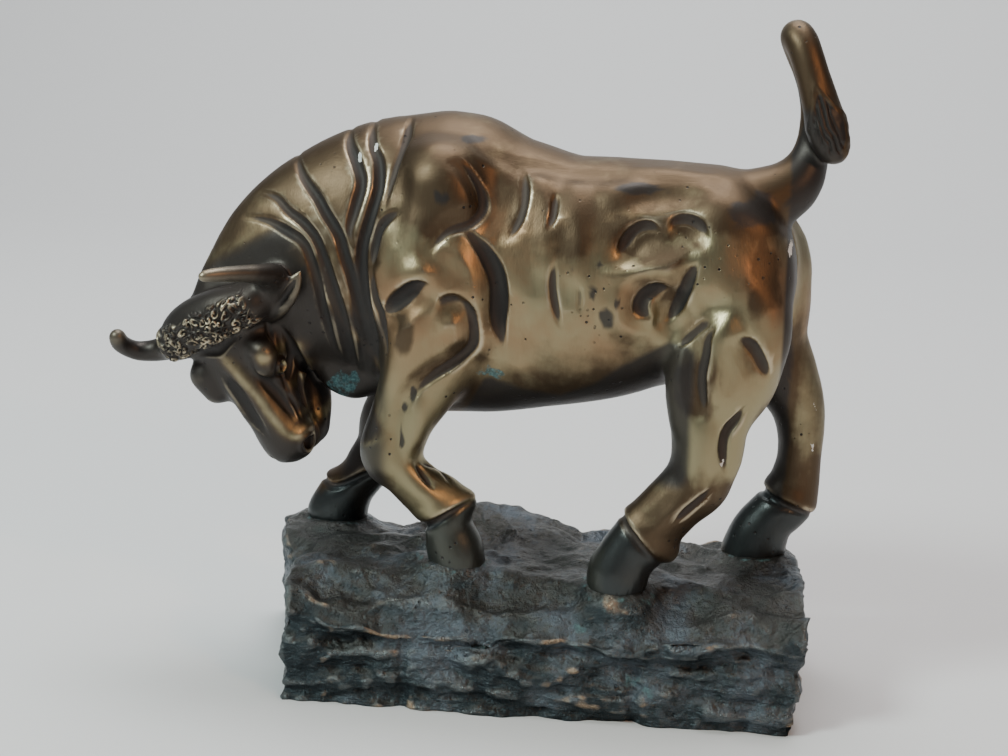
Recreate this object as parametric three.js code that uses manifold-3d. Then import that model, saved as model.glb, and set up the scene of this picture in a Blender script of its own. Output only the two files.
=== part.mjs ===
// A cast bull with lowered head on a block of rock, as two solids: bull and rock_base.
// Millimetres, +Z up. The bull faces -X and its near flank is on -Y.
// The underside of the rock lies on Z = 0.
// The bull is one closed form: tubes of oval section joined smoothly, with muscles raised and folds cut in.
import * as THREE from "three";
import Module from "manifold-3d";

// Driving dimensions
const ROCK_DEPTH = 108;
const SOLE_HEIGHT = 54.6;
const HOOF_GAP = 0.45;
const COARSE_STEP = 2.5;
const BULL_STEP = 2;
const ROCK_STEP = 2.4;
const BULL_TRIANGLES = 6900;
const ROCK_TRIANGLES = 2350;
const FOLD_ROUNDING = 1.0;
const SCOOP = { leastRadius: 2.7, shift: 0.9, width: 1.8, depth: 0.5, rounding: 2.5 };
const HOLLOW_ROUNDING = 3.5;
const CUFF_LIP = { radius: 3.4, height: 1.1, lift: 4.2 };
const CUFF_OVERLAP = 0.35;
const BULL_LOW = [-214, -76, 30];
const BULL_HIGH = [134, 76, 312];
const BODY_MIDDLE = 4;
const FAR_SHARE = 0.8;
const FAR_AWAY = 60;

// Small vector helpers
const add = (a, b) => [a[0] + b[0], a[1] + b[1], a[2] + b[2]];
const sub = (a, b) => [a[0] - b[0], a[1] - b[1], a[2] - b[2]];
const scale = (a, k) => [a[0] * k, a[1] * k, a[2] * k];
const dot = (a, b) => a[0] * b[0] + a[1] * b[1] + a[2] * b[2];
const cross = (a, b) => [a[1] * b[2] - a[2] * b[1], a[2] * b[0] - a[0] * b[2], a[0] * b[1] - a[1] * b[0]];
const unit = (a) => scale(a, 1 / Math.hypot(...a));
const clamp = (v, low, high) => Math.min(Math.max(v, low), high);

// The head's own frame: out to the far side, down the face, out of the forehead
const HEAD_AT = [-155, -18, 161];
const HEAD_SIDE = unit([-0.82, 0.35, -0.455]);
const headSlope = [0.51, 0.06, -0.86];
const HEAD_DOWN = unit(sub(headSlope, scale(HEAD_SIDE, dot(headSlope, HEAD_SIDE))));
const HEAD_OUT = cross(HEAD_SIDE, HEAD_DOWN);

function headPoint([a, b, c]) {
  return add(HEAD_AT, add(scale(HEAD_SIDE, a), add(scale(HEAD_DOWN, b), scale(HEAD_OUT, c))));
}

// A smooth curve through rows of numbers
function curve(rows, steps) {
  if (rows.length === 2) return rows;
  const out = [];
  const last = rows.length - 1;
  for (let i = 0; i < last; i++) {
    const p0 = rows[Math.max(i - 1, 0)];
    const p1 = rows[i];
    const p2 = rows[i + 1];
    const p3 = rows[Math.min(i + 2, last)];
    for (let s = 0; s < steps; s++) {
      const t = s / steps;
      out.push(
        p1.map(
          (v, k) =>
            0.5 *
            (2 * v +
              (p2[k] - p0[k]) * t +
              (2 * p0[k] - 5 * v + 4 * p2[k] - p3[k]) * t * t +
              (3 * v - p0[k] - 3 * p2[k] + p3[k]) * t * t * t),
        ),
      );
    }
  }
  out.push(rows[last]);
  return out;
}

// A tube of oval section. Each row is x, y, z and one radius, or front, back and side radii.
function tube(rows, blend, sideAxis = [0, 1, 0], cap = 1) {
  const full = rows.map((r) => (r.length === 4 ? [...r, r[3], r[3]] : r));
  const path = curve(full, 6);
  const spans = path.slice(1).map((b, i) => {
    const a = path[i];
    const d = sub(b, a);
    const length = Math.hypot(...d);
    const along = scale(d, 1 / length);
    const side = unit(sub(sideAxis, scale(along, dot(sideAxis, along))));
    return { a, b, length, along, side, front: cross(side, along) };
  });
  const distance = (x, y, z) => {
    let best = 1e9;
    for (const s of spans) {
      const q = [x - s.a[0], y - s.a[1], z - s.a[2]];
      const run = dot(q, s.along);
      const h = clamp(run / s.length, 0, 1);
      const n = dot(q, s.front);
      const w = dot(q, s.side);
      const t = run - h * s.length;
      const k = n > 0 ? 3 : 4;
      const rn = s.a[k] + h * (s.b[k] - s.a[k]);
      const rs = s.a[5] + h * (s.b[5] - s.a[5]);
      const rt = Math.min(rn, rs) * cap;
      const inner = Math.hypot(n / rn, w / rs, t / rt);
      const outer = Math.hypot(n / (rn * rn), w / (rs * rs), t / (rt * rt)) + 1e-9;
      best = Math.min(best, (inner * (inner - 1)) / outer);
    }
    return best;
  };
  return { distance, blend, ...boxOf(path, (r) => Math.max(r[3], r[4], r[5])) };
}

// A plain round cord through rows of x, y, z and radius
function cord(rows) {
  const distance = (x, y, z) => {
    let best = 1e9;
    for (let i = 1; i < rows.length; i++) {
      const a = rows[i - 1];
      const b = rows[i];
      const d = sub(b, a);
      const q = [x - a[0], y - a[1], z - a[2]];
      const h = clamp(dot(q, d) / Math.max(dot(d, d), 1e-9), 0, 1);
      best = Math.min(best, Math.hypot(...sub(q, scale(d, h))) - (a[3] + h * (b[3] - a[3])));
    }
    return best;
  };
  return { distance, ...boxOf(rows, (r) => r[3]) };
}

function boxOf(rows, radius) {
  const low = [0, 1, 2].map((k) => Math.min(...rows.map((r) => r[k] - radius(r))));
  const high = [0, 1, 2].map((k) => Math.max(...rows.map((r) => r[k] + radius(r))));
  return { low, high };
}

function smoothMin(a, b, k) {
  if (k <= 0) return Math.min(a, b);
  const h = clamp(0.5 + (0.5 * (b - a)) / k, 0, 1);
  return b + (a - b) * h - k * h * (1 - h);
}

// A box of field values at even steps
class Lattice {
  constructor(low, high, step) {
    this.low = low;
    this.step = step;
    this.size = [0, 1, 2].map((k) => Math.ceil((high[k] - low[k]) / step) + 1);
    this.values = new Float64Array(this.size[0] * this.size[1] * this.size[2]).fill(FAR_AWAY);
  }

  index(i, j, k) {
    return (i * this.size[1] + j) * this.size[2] + k;
  }

  place(i, j, k) {
    return [this.low[0] + i * this.step, this.low[1] + j * this.step, this.low[2] + k * this.step];
  }

  // Calls visit for the lattice points within a margin of a piece's box
  within(piece, margin, visit) {
    const from = [0, 1, 2].map((k) =>
      Math.max(0, Math.floor((piece.low[k] - margin - this.low[k]) / this.step)),
    );
    const to = [0, 1, 2].map((k) =>
      Math.min(this.size[k], Math.ceil((piece.high[k] + margin - this.low[k]) / this.step) + 1),
    );
    for (let i = from[0]; i < to[0]; i++)
      for (let j = from[1]; j < to[1]; j++)
        for (let k = from[2]; k < to[2]; k++) visit(this.index(i, j, k), ...this.place(i, j, k));
  }

  join(pieces, blend) {
    for (const piece of pieces) {
      const k = blend ?? piece.blend;
      this.within(piece, Math.max(12, k + 4), (at, x, y, z) => {
        this.values[at] = smoothMin(this.values[at], piece.distance(x, y, z), k);
      });
    }
  }

  cut(pieces, rounding) {
    for (const piece of pieces)
      this.within(piece, rounding + 4, (at, x, y, z) => {
        this.values[at] = -smoothMin(-this.values[at], piece.distance(x, y, z), rounding);
      });
  }

  // The value at any point through cubic B-splines, which rounds the field a little
  at(p) {
    const first = [];
    const weights = [];
    for (let k = 0; k < 3; k++) {
      const c = (p[k] - this.low[k]) / this.step;
      const i = clamp(Math.floor(c), 1, this.size[k] - 3);
      const f = clamp(c - i, 0, 1);
      first.push(i - 1);
      weights.push([
        (1 - f) ** 3 / 6,
        (3 * f ** 3 - 6 * f ** 2 + 4) / 6,
        (-3 * f ** 3 + 3 * f ** 2 + 3 * f + 1) / 6,
        f ** 3 / 6,
      ]);
    }
    let total = 0;
    for (let i = 0; i < 4; i++)
      for (let j = 0; j < 4; j++) {
        const w = weights[0][i] * weights[1][j];
        const row = this.index(first[0] + i, first[1] + j, first[2]);
        for (let k = 0; k < 4; k++) total += w * weights[2][k] * this.values[row + k];
      }
    return total;
  }

  // The same, but plain where the surface is far off
  quick(p) {
    const near = [0, 1, 2].map((k) => {
      const cell = Math.round((p[k] - this.low[k]) / this.step);
      return clamp(cell, 0, this.size[k] - 1);
    });
    const value = this.values[this.index(...near)];
    return Math.abs(value) > 9 ? value : this.at(p);
  }

  normal(p) {
    const g = [0, 1, 2].map((k) => {
      const e = [0, 0, 0];
      e[k] = 1;
      return this.at(add(p, e)) - this.at(sub(p, e));
    });
    return unit(g.map((v) => v + 1e-12));
  }

  // The surface point near p
  snap(p) {
    let q = p;
    for (let n = 0; n < 12; n++) q = sub(q, scale(this.normal(q), clamp(this.at(q), -4, 4) * 0.8));
    return q;
  }

  // The surface point over (x, z), coming in from the near side (-1) or the far side (+1)
  land([x, z], side) {
    let y = side * 72;
    for (let n = 0; n < 40; n++) {
      y -= side * clamp(this.at([x, y, z]) * 0.7, 0, 6);
      y = side * Math.max(y * side, BODY_MIDDLE * side);
    }
    return this.snap([x, y, z]);
  }
}

// Cords that lie in the surface. sign +1 sets them to be cut in, -1 to be raised.
function surfaceCords(field, lines, sign) {
  return lines.map(([points, radius, depth]) => {
    const part = curve(points, 4);
    const run = [0];
    for (let i = 1; i < part.length; i++) run.push(run[i - 1] + Math.hypot(...sub(part[i], part[i - 1])));
    const whole = run[run.length - 1];
    return cord(
      part.map((p, i) => {
        const t = run[i] / whole;
        const fade = 0.1 + 0.9 * Math.sin((Math.min(Math.min(t, 1 - t) / 0.35, 1) * Math.PI) / 2);
        const r = radius * (0.35 + 0.65 * fade);
        const on = field.snap(p);
        return [...add(on, scale(field.normal(on), sign * (r - depth * fade))), r];
      }),
    );
  });
}

// Every tube of the body. A name stands over each.
const bodyTube = (rows, blend) => tube(rows, blend);
const headTube = (rows, blend, sideAxis, cap) =>
  tube(rows.map(([a, b, c, ...radii]) => [...headPoint([a, b, c]), ...radii]), blend, sideAxis, cap);
const TUBES = [
  // barrel
  bodyTube(
    [
      [67, -3, 199, 42, 45, 36],
      [50, 0, 194, 47.5, 46, 39],
      [24, 3, 189, 52.5, 54, 41.5],
      [0, 6, 187, 54.5, 59, 43],
      [-27, 9, 189, 59.5, 67, 42],
      [-54, 11, 191, 66, 70, 40],
    ],
    0,
  ),
  // neck
  bodyTube(
    [
      [-45, 11, 192, 64.5, 60, 38],
      [-72, 10, 194, 61, 58, 38],
      [-97, 8, 189, 54, 50, 33],
      [-116, 5, 180, 47, 40, 26],
      [-131, 2, 168, 38.5, 30, 19],
      [-141, -3, 158, 32, 24, 14],
    ],
    6,
  ),
  // brisket
  bodyTube(
    [
      [-58, 11, 150, 28, 24, 26],
      [-76, 10, 152, 22, 18, 20],
    ],
    10,
  ),
  // dewlap
  bodyTube(
    [
      [-104, 3, 160, 16, 16, 10],
      [-102, 3, 140, 10, 10, 8],
      [-94, 3, 134.5, 9, 9, 8],
      [-87, 4, 135.5, 8.5, 8.5, 8],
      [-78, 8, 137, 9.5, 9.5, 9],
    ],
    6,
  ),
  // near shoulder
  bodyTube(
    [
      [-50, -15, 234, 20, 20, 14],
      [-54, -20, 210, 26, 26, 17],
      [-54, -21, 186, 27, 28, 18],
      [-53, -20, 162, 23, 23, 16],
      [-60, -19, 140, 18, 18, 13],
      [-67, -19, 124, 14.5, 14.5, 12],
      [-72, -18, 107, 14.5, 14, 12],
      [-66, -18, 98, 11, 11, 10.5],
      [-57, -18, 90, 11.5, 11.5, 10.5],
      [-49, -18, 84, 11, 13, 11.5],
      [-46, -18, 75, 10.5, 11, 11],
    ],
    7,
  ),
  // near fore dewclaws
  bodyTube(
    [
      [-46, -18, 87, 5],
      [-37, -18, 86, 4.5],
    ],
    4,
  ),
  // near fore hoof
  bodyTube(
    [
      [-46, -18, 73, 10, 10.5, 11],
      [-42.5, -18, 64, 12.8, 12.8, 12.5],
      [-40.5, -18, 55, 12.2, 12.6, 12.6],
    ],
    1.5,
  ),
  // far shoulder
  bodyTube(
    [
      [-52, 33, 228, 20, 20, 14],
      [-54, 37, 205, 26, 26, 16],
      [-54, 38, 182, 26, 26, 17],
      [-58, 39, 158, 21, 21, 15],
      [-70, 40, 136, 16, 16, 12.5],
      [-80, 41, 117, 13.5, 13.5, 12],
      [-85, 41, 106, 13, 13, 12],
      [-89, 41, 94, 10.5, 10.5, 10],
      [-93, 41, 84, 11.5, 12, 11],
      [-97, 41, 77, 10.5, 11, 11],
    ],
    7,
  ),
  // far fore hoof
  bodyTube(
    [
      [-97, 41, 77, 10.5, 10.5, 11],
      [-104, 41, 67, 14, 12, 12.5],
      [-107, 41, 57, 17, 13, 13],
    ],
    1.5,
  ),
  // near thigh
  bodyTube(
    [
      [66, -14, 222, 17, 17, 12],
      [74, -20, 203, 24, 24, 16],
      [75, -23, 184, 25, 26, 18],
      [74, -25, 166, 23.5, 26, 18],
      [72, -26, 150, 22.5, 24, 16.5],
      [68.5, -27, 134, 17, 16.5, 14],
      [67.5, -28, 118, 14.5, 14.5, 12.5],
      [64, -29, 106, 13.5, 16, 12],
      [56.5, -30, 96, 13.5, 13.5, 11],
      [49, -30, 87, 13.5, 13.5, 11],
      [42, -30, 78, 13, 14.5, 11.5],
      [36, -30, 70, 12.5, 12, 11.5],
    ],
    7,
  ),
  // near hind dewclaws
  bodyTube(
    [
      [47, -30, 77, 6],
      [54.5, -30, 73, 4.6],
    ],
    4,
  ),
  // near hind hoof
  bodyTube(
    [
      [37, -30, 70, 12, 11.5, 11.5],
      [33, -30, 62, 14, 13.5, 13],
      [32, -30, 53, 13, 13, 13],
    ],
    1.5,
  ),
  // far thigh
  bodyTube(
    [
      [76, 10, 218, 17, 17, 12],
      [85, 15, 200, 24, 24, 15],
      [88, 19, 180, 24, 24, 17],
      [90, 23, 160, 22, 22, 16],
      [100, 26, 143, 15, 18, 14.5],
      [108, 27, 130, 12, 14, 12.5],
      [111.5, 27, 117, 10.5, 11.5, 11],
      [112, 27, 104, 10, 10.5, 10],
      [111, 27, 94, 11, 11.5, 10.5],
      [109, 27, 84, 12.5, 13, 11.5],
      [104, 27, 77, 11.5, 13, 11.5],
    ],
    7,
  ),
  // far hind hoof
  bodyTube(
    [
      [102, 27, 75, 12, 10.5, 11.5],
      [97, 27, 65, 14.5, 13, 12.5],
      [94, 27, 55, 15.5, 14.5, 13.5],
    ],
    1.5,
  ),
  // tail
  bodyTube(
    [
      [66, -5, 221.5, 16],
      [83, -6, 224.5, 15.3],
      [97.5, -6, 232, 12.3],
      [104, -5, 242, 9],
      [105.5, -4, 253, 6.4],
      [104.5, -3, 266, 4.8],
      [101, -2, 279, 4.6],
      [97, -3, 290, 5.6],
      [96, -6, 296.2, 7.1],
      [99, -11, 292, 7.2],
      [103.5, -13.5, 280, 7.2],
      [107.5, -14, 269, 7.9],
      [111, -15, 258, 8.8],
      [114, -15, 250.5, 6.8],
    ],
    3,
  ),
  // skull
  headTube(
    [
      [0, -6, -10, 8, 12, 20],
      [0, 8, -12, 17, 18, 23],
      [0, 22, -13, 18, 20, 22],
      [0, 36, -12, 17, 20, 17.5],
      [0, 50, -9, 15, 17, 14],
      [0, 60, -6, 12, 13, 13.5],
      [0, 66, -5, 10, 11, 12.5],
    ],
    4,
    HEAD_SIDE,
    0.8,
  ),
  // poll roll
  headTube(
    [
      [-24, -1, -2, 9, 9, 9],
      [-8, -3, 0, 11.5, 11.5, 11.5],
      [10, -3, 0, 11.5, 11.5, 11.5],
      [23, 0, -1, 9, 9, 9],
    ],
    2.5,
    HEAD_OUT,
  ),
  // near horn
  headTube(
    [
      [-22, -1, -6, 9],
      [-33, -3, -8, 8],
      [-40, -7, -4, 6.4],
      [-42, -11, 4, 4.8],
      [-40, -16, 13, 4],
      [-36, -21, 22, 3.5],
      [-33, -23.5, 27, 3],
    ],
    3,
    HEAD_DOWN,
  ),
  // far horn
  headTube(
    [
      [20, 0, -3, 8],
      [31, 1, -3, 6],
      [39, -1, -1, 5.2],
      [44, -5, 3, 4.6],
      [44.5, -11, 8, 4.4],
      [41.5, -15, 11, 4.2],
    ],
    2.5,
    HEAD_DOWN,
  ),
  // near brow
  headTube(
    [
      [-16, 20, -2, 7],
      [-15, 27, 0, 5.5],
    ],
    3,
    HEAD_SIDE,
  ),
  // far brow
  headTube(
    [
      [18, 20, -1, 8],
      [18, 28, -2, 7],
    ],
    4,
    HEAD_SIDE,
  ),
  // jaw
  headTube(
    [
      [-2, 24, -31, 13, 14, 15],
      [-3, 40, -33, 13, 13, 13],
      [-3, 54, -29, 12, 11, 11.5],
      [-2, 66, -21, 9, 8, 9.5],
    ],
    3,
    HEAD_SIDE,
  ),
  // near ear
  headTube(
    [
      [-26, 8, -8, 3.5, 3.5, 4],
      [-37, 6, -6, 2.6, 2.6, 4.6],
      [-46, 1, -7, 2.2, 2.2, 4.6],
      [-54, -5, -10, 1.2, 1.2, 1.6],
    ],
    2,
    HEAD_DOWN,
  ),
  // far ear
  headTube(
    [
      [22, 6, -10, 3.5, 3.5, 4],
      [32, 6, -14, 2.8, 2.8, 6],
      [40, 2, -20, 2.4, 2.4, 4.5],
      [46, -3, -25, 1.2, 1.2, 1.6],
    ],
    2,
    HEAD_DOWN,
  ),
];

// Folds of the neck seen from the side: places (x, z), radius and depth
const NECK_FOLDS = [
  // a
  [
    [
      [-142, 209], [-130, 209], [-119, 205], [-112, 201], [-108, 193], [-105, 183], [-103, 171],
      [-101, 162], [-99, 150],
    ],
    2.3,
    2,
  ],
  // b
  [
    [
      [-136, 220], [-127, 219], [-120, 214], [-113, 210], [-107, 204], [-103, 196], [-98, 182],
      [-94, 167], [-92, 152], [-91, 140],
    ],
    2.4,
    2.3,
  ],
  // c
  [
    [
      [-121, 237], [-115, 229], [-107, 221], [-102, 214], [-96, 206], [-93, 197], [-89, 185],
      [-86, 170], [-84, 156], [-85, 140],
    ],
    2.6,
    2.5,
  ],
  // d
  [[[-97, 250], [-95, 244], [-90, 236], [-87, 228], [-89, 218], [-91, 208], [-89, 201]], 2.6, 2.4],
  // e
  [
    [
      [-86, 253], [-84, 244], [-80, 237], [-79, 227], [-81, 218], [-83, 210], [-85, 201],
      [-85, 189], [-83, 173], [-80, 158], [-80, 142],
    ],
    2.8,
    2.9,
  ],
  // f
  [[[-69, 255], [-69, 249], [-70, 243], [-72, 235], [-74, 226], [-75, 219]], 2.2, 1.7],
  // g
  [[[-68, 218], [-73, 215], [-77, 210], [-79, 203], [-80, 193]], 2.6, 2.4],
  // h
  [[[-80, 191], [-79, 180], [-76, 172], [-74, 161], [-73, 152]], 2.4, 2.2],
  // ridge ab
  [[[-105, 193], [-101, 182], [-97, 169], [-95, 156], [-94, 143]], 1.5, 1.2],
  // ridge bc
  [[[-90, 179], [-89, 169], [-87, 157], [-88, 143]], 1.4, 1.1],
  // ridge ce
  [[[-88, 194], [-86, 182], [-84, 169], [-82, 155], [-83, 140]], 1.4, 1.2],
];

// Folds round the shoulder and upper arm
const SHOULDER_FOLDS = [
  // blade
  [
    [
      [-44, 241], [-40, 238], [-36, 233], [-33, 227], [-32, 221], [-34, 217], [-38, 214],
      [-45, 212], [-49, 209], [-52, 205], [-53, 201], [-51, 198],
    ],
    2.8,
    2.4,
  ],
  // triceps
  [
    [
      [-42, 212], [-37, 210], [-32, 205], [-28, 199], [-25, 192], [-24, 182], [-24, 171],
      [-22, 159],
    ],
    4.2,
    3.6,
  ],
  // tear
  [[[-74, 173], [-69, 178], [-63, 183], [-58, 187], [-54, 187]], 4.4, 3.8],
  // hook
  [
    [
      [-52, 172], [-49, 177], [-46, 180], [-42, 181], [-38, 179], [-35, 174], [-34, 167],
      [-35, 161], [-39, 156], [-44, 152], [-50, 148], [-56, 143], [-61, 137], [-63, 131],
    ],
    2.9,
    2.7,
  ],
  // hook mouth
  [[[-49, 179], [-44, 181], [-40, 180]], 4, 2.6],
];

// Cuts over the ribs, loin, flank, thigh and leg
const FLANK_FOLDS = [
  // cut1
  [[[-17, 236], [-16, 229], [-16, 222], [-18, 215], [-22, 207]], 3.2, 2.2],
  // cut2
  [[[-2, 228], [-2, 220], [-4, 213]], 2, 1.5],
  // cut3
  [[[0, 201], [-1, 192], [0, 184], [3, 172]], 2.2, 1.6],
  // cut4
  [[[10, 192], [11, 186], [11, 179]], 1.8, 0.9],
  // loin front
  [[[27, 203], [29, 208], [32, 213], [36, 216], [40, 216], [43, 213]], 3.8, 2.6],
  // loin back
  [[[48, 215], [50, 219], [54, 220], [59, 218], [63, 213]], 3.8, 2.6],
  // flank wedge
  [[[59.5, 204], [57, 198], [54, 190], [51, 182], [48, 175]], 3.4, 3.2],
  // flank bowl
  [[[50, 190], [43, 190], [38, 187], [37, 182], [41, 178]], 4.6, 3.4],
  // hip branch
  [[[52, 166], [56, 170], [62, 176], [68, 181]], 3.4, 2.6],
  // spindle
  [[[69, 178], [65, 172], [64, 164], [63, 156], [64, 147], [66, 138]], 3.2, 2.9],
  // lens
  [[[78, 173], [84, 169], [88, 163], [92, 155]], 3.8, 2.6],
  // gaskin
  [[[84, 143], [80, 137], [76, 131], [75, 123], [77, 112]], 2.6, 2],
  // tendon
  [[[72, 106], [66, 100], [60, 94], [56, 89]], 2.4, 1.6],
  // knee fold
  [[[-60, 106], [-56, 100], [-51, 94]], 2.2, 1.6],
  // knee fold back
  [[[-59, 105], [-51, 100], [-44, 94]], 1.8, 1.2],
];

// Folds given in full (x, y, z)
const REAR_FOLDS = [
  // cleft
  [[[104, -6, 225], [108, -5, 205], [108, -4, 185], [106, -3, 165], [100, -2, 152]], 4.2, 4.4],
];

// Raised muscles: places (x, z), radius and height
const MUSCLES = [
  // arm
  [[[-40, 205], [-36, 198], [-33, 190], [-32, 181]], 8, 3.2],
  // blade
  [[[-60, 234], [-51, 233], [-44, 228], [-41, 222]], 12, 3],
  // upper arm
  [[[-46, 173], [-41, 170], [-39, 164]], 7, 2.2],
  // forearm
  [[[-61, 173], [-63, 160], [-68, 145]], 9, 2.6],
  // forearm ridge
  [[[-68, 147], [-72, 136], [-76, 122], [-77, 112]], 5, 1.4],
  // knee ridge
  [[[-58, 132], [-59, 122], [-63, 112]], 4, 1.8],
  // knee cap
  [[[-75, 116], [-77, 109], [-74, 102]], 5, 1.6],
  // shin ridge
  [[[-66, 104], [-60, 97], [-53, 90]], 3.4, 1.4],
  // hind shin
  [[[66, 104], [57, 96], [48, 87]], 4.4, 1.4],
  // thigh front
  [[[55, 160], [54, 146], [55, 132]], 7, 2.2],
  // thigh middle
  [[[73, 178], [72, 169], [70, 158], [70, 145]], 6, 1.8],
  // thigh rear
  [[[83, 193], [91, 184], [95, 171], [90, 158]], 9, 2],
  // hip
  [[[66, 225], [78, 223], [89, 217]], 10, 1.4],
  // loin
  [[[21, 228], [38, 235], [59, 235]], 8, 1],
  // loin lip
  [[[24, 197], [36, 199], [47, 203], [58, 207]], 4, 1.2],
  // hock
  [[[82, 134], [81, 123], [80, 112]], 5, 2.2],
  // shank
  [[[66, 134], [65, 121], [63, 110]], 6, 1.8],
  // rib
  [[[-9, 232], [-8, 219], [-7, 200]], 6, 0.9],
  // rib 2
  [[[6, 229], [6, 214], [6, 197]], 6, 0.8],
  // flank lip
  [[[28, 187], [28, 179], [32, 172]], 6, 1.6],
  // tear lip
  [[[-66, 189], [-59, 193], [-52, 192], [-49, 185]], 4, 1.4],
  // hook lip
  [[[-44, 186], [-37, 185], [-32, 179], [-30, 168], [-32, 159]], 4, 1.6],
];

// Wide, shallow hollows of both flanks
const HOLLOWS = [
  // loin sink
  [[[24, 200], [33, 205], [43, 208], [53, 209], [60, 208]], 12, 3.4],
  // loin dip
  [[[29, 206], [34, 211], [40, 212], [48, 212], [55, 215], [61, 212]], 6, 1.6],
  // loin soft
  [[[32, 227], [43, 229], [57, 230]], 9, 1.3],
  // flank bowl
  [[[42, 185], [47, 184], [50, 180], [48, 172]], 8, 4.4],
  // blade valley
  [[[-37, 240], [-29, 230], [-26, 221], [-31, 212]], 7, 1.8],
  // arm valley
  [[[-49, 198], [-50, 190], [-52, 182]], 6, 1.4],
  // shoulder front
  [[[-67, 233], [-68, 219], [-69, 206]], 6, 1.2],
  // thigh hollow
  [[[62, 185], [66, 186], [71, 183]], 6, 2],
  // thigh rear
  [[[72, 169], [75, 161], [75, 151]], 6, 1.2],
  // rib a
  [[[-10, 225], [-10, 209], [-8, 188]], 6, 0.8],
  // rib b
  [[[4, 215], [4, 200], [6, 184]], 6, 0.8],
  // back line
  [[[-36, 244], [-19, 238], [3, 235], [38, 236], [67, 235]], 6, 0.9],
  // knee dish
  [[[-65, 135], [-66, 123], [-67, 113]], 5, 1.2],
  // behind elbow
  [[[-21, 182], [-18, 169], [-14, 155]], 8, 1.6],
  // shin
  [[[53, 99], [46, 90]], 5, 0.8],
];

// Folds of the head, in the head's own frame
const HEAD_FOLDS = [
  // under roll
  [[[-24, 10, 4], [-10, 10, 8], [0, 11, 9], [10, 10, 8], [24, 10, 4]], 3, 1.6],
  // left valley
  [[[5, 20, 6], [3, 32, 7], [2, 46, 7], [0, 56, 7]], 4.6, 1.7],
  // ridge valley
  [[[-11, 26, 4], [-12, 34, 2], [-13, 42, 0], [-13, 50, -1], [-12, 56, -1]], 3, 1.6],
  // brow groove
  [[[-24, 9, -4], [-24, 17, -5], [-21, 24, -4]], 1.5, 1.4],
  // eye hole
  [[[-18, 29.5, -5], [-18, 31, -5.5]], 1.3, 1.8],
  // socket
  [[[-26, 20, -12], [-22, 28, -13], [-18, 34, -10], [-15, 38, -6]], 2.4, 2.2],
  // eye line
  [[[-17, 33, -5], [-15, 38, -5], [-14, 43, -5]], 1, 0.9],
  // nose fold
  [[[-14, 43, -4], [-13, 50, -5], [-13, 57, -4]], 1.3, 1.2],
  // cheek fold
  [[[-19, 38, -14], [-16, 48, -13], [-13, 56, -12]], 2, 1.7],
  // ear crease
  [[[-34, 6, -3], [-42, 3, -3], [-49, -1, -6]], 1.5, 1.5],
  // jaw fold
  [[[-24, 14, -20], [-22, 28, -24], [-18, 42, -24]], 2.4, 1.8],
  // nostril
  [[[-12, 66.5, -6], [-11.5, 69, -5], [-10.5, 71, -4]], 3, 3.2],
  // far nostril
  [[[9, 66, 4], [9.5, 69, 2], [9, 71, -1]], 2.2, 1.8],
  // mouth
  [[[-12, 56, -14], [-11, 66, -12], [-5, 74, -10], [0, 76, -10], [6, 73, -11]], 1.6, 1.4],
];

// Raised lines of the head
const HEAD_RIDGES = [
  // nose ridge
  [[[-1, 13, 6], [-3, 22, 6], [-5, 31, 5], [-7, 41, 4], [-8, 50, 4], [-9, 58, 4], [-11, 63, 1]], 3.6, 2.2],
  // far ridge
  [[[7, 22, 8], [8, 36, 7], [7, 50, 6]], 4, 1.2],
  // brow
  [[[-17, 19, 3], [-20, 22, 2], [-20, 26, 2]], 4.6, 2.2],
  // eyeball
  [[[-18, 29.5, -5], [-18, 31, -5.5]], 3, 1.6],
  // cheek
  [[[-29, 20, -15], [-26, 30, -18], [-21, 38, -20], [-16, 43, -15]], 4, 3.2],
  // under eye
  [[[-16, 38, -5], [-15, 45, -7], [-13, 52, -5]], 2.4, 1.1],
  // thin ridge
  [[[-13, 47, -2], [-13, 52, -2], [-12, 57, -2]], 1.8, 0.9],
  // nostril rim
  [[[-9, 62, 4], [-11, 61.5, 0], [-13, 61.5, -6], [-12.5, 64, -11]], 2.6, 1.9],
  // lip
  [[[-13, 54, -23], [-12, 62, -21], [-10, 68, -17]], 3, 1.1],
  // chin
  [[[-9, 62, -17], [-8, 68, -15], [0, 72, -14]], 4, 1.2],
];

// The lower edge of the skin over each hoof: middle, radius, tilt in degrees, width and depth
const CUFFS = [
  // near fore
  [[-45, -18, 80.5], 15, 29, 2.4, 1.8],
  // near hind
  [[37, -30, 81], 17, -41, 2.4, 1.6],
  // far fore
  [[-98, 41, 78], 14, 25, 2.4, 1.6],
  // far hind
  [[109, 27, 81], 14, -24, 2.4, 1.8],
];

// Lines of the near legs that miss the far legs: knee folds, tendon, gaskin and hock
const NEAR_ONLY = [FLANK_FOLDS[12], FLANK_FOLDS[13], FLANK_FOLDS[14], FLANK_FOLDS[11], MUSCLES[15]];

// Rock: heights along the front and back rims, and where its faces stand
const FRONT_RIM = [
  [-114, 42],
  [-92, 37],
  [-61, 31],
  [-30, 29],
  [1, 36],
  [36, 35],
  [70, 39],
  [117, 45],
];
const BACK_RIM = [
  [-139, 50],
  [-126, 56],
  [-99, 53],
  [-77, 50],
  [-45, 65],
  [-19, 64],
  [0, 57],
  [12, 50],
  [31, 55],
  [64, 50],
  [110, 51],
];
const FRONT_FACE = [
  [0, -54.5],
  [12, -55],
  [23, -53],
  [29, -49.5],
  [32, -50.5],
  [35.5, -55],
  [50, -53.5],
];
const LEDGE_LIFT = [
  [-114, 5],
  [-90, 2],
  [-60, -3],
  [-20, 1],
  [10, 2],
  [30, -4],
  [70, 1],
  [117, 2],
];
const LEFT_FACE = [
  [-55, -114],
  [-25, -116],
  [-5, -118],
  [15, -129],
  [50, -137],
];
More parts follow.
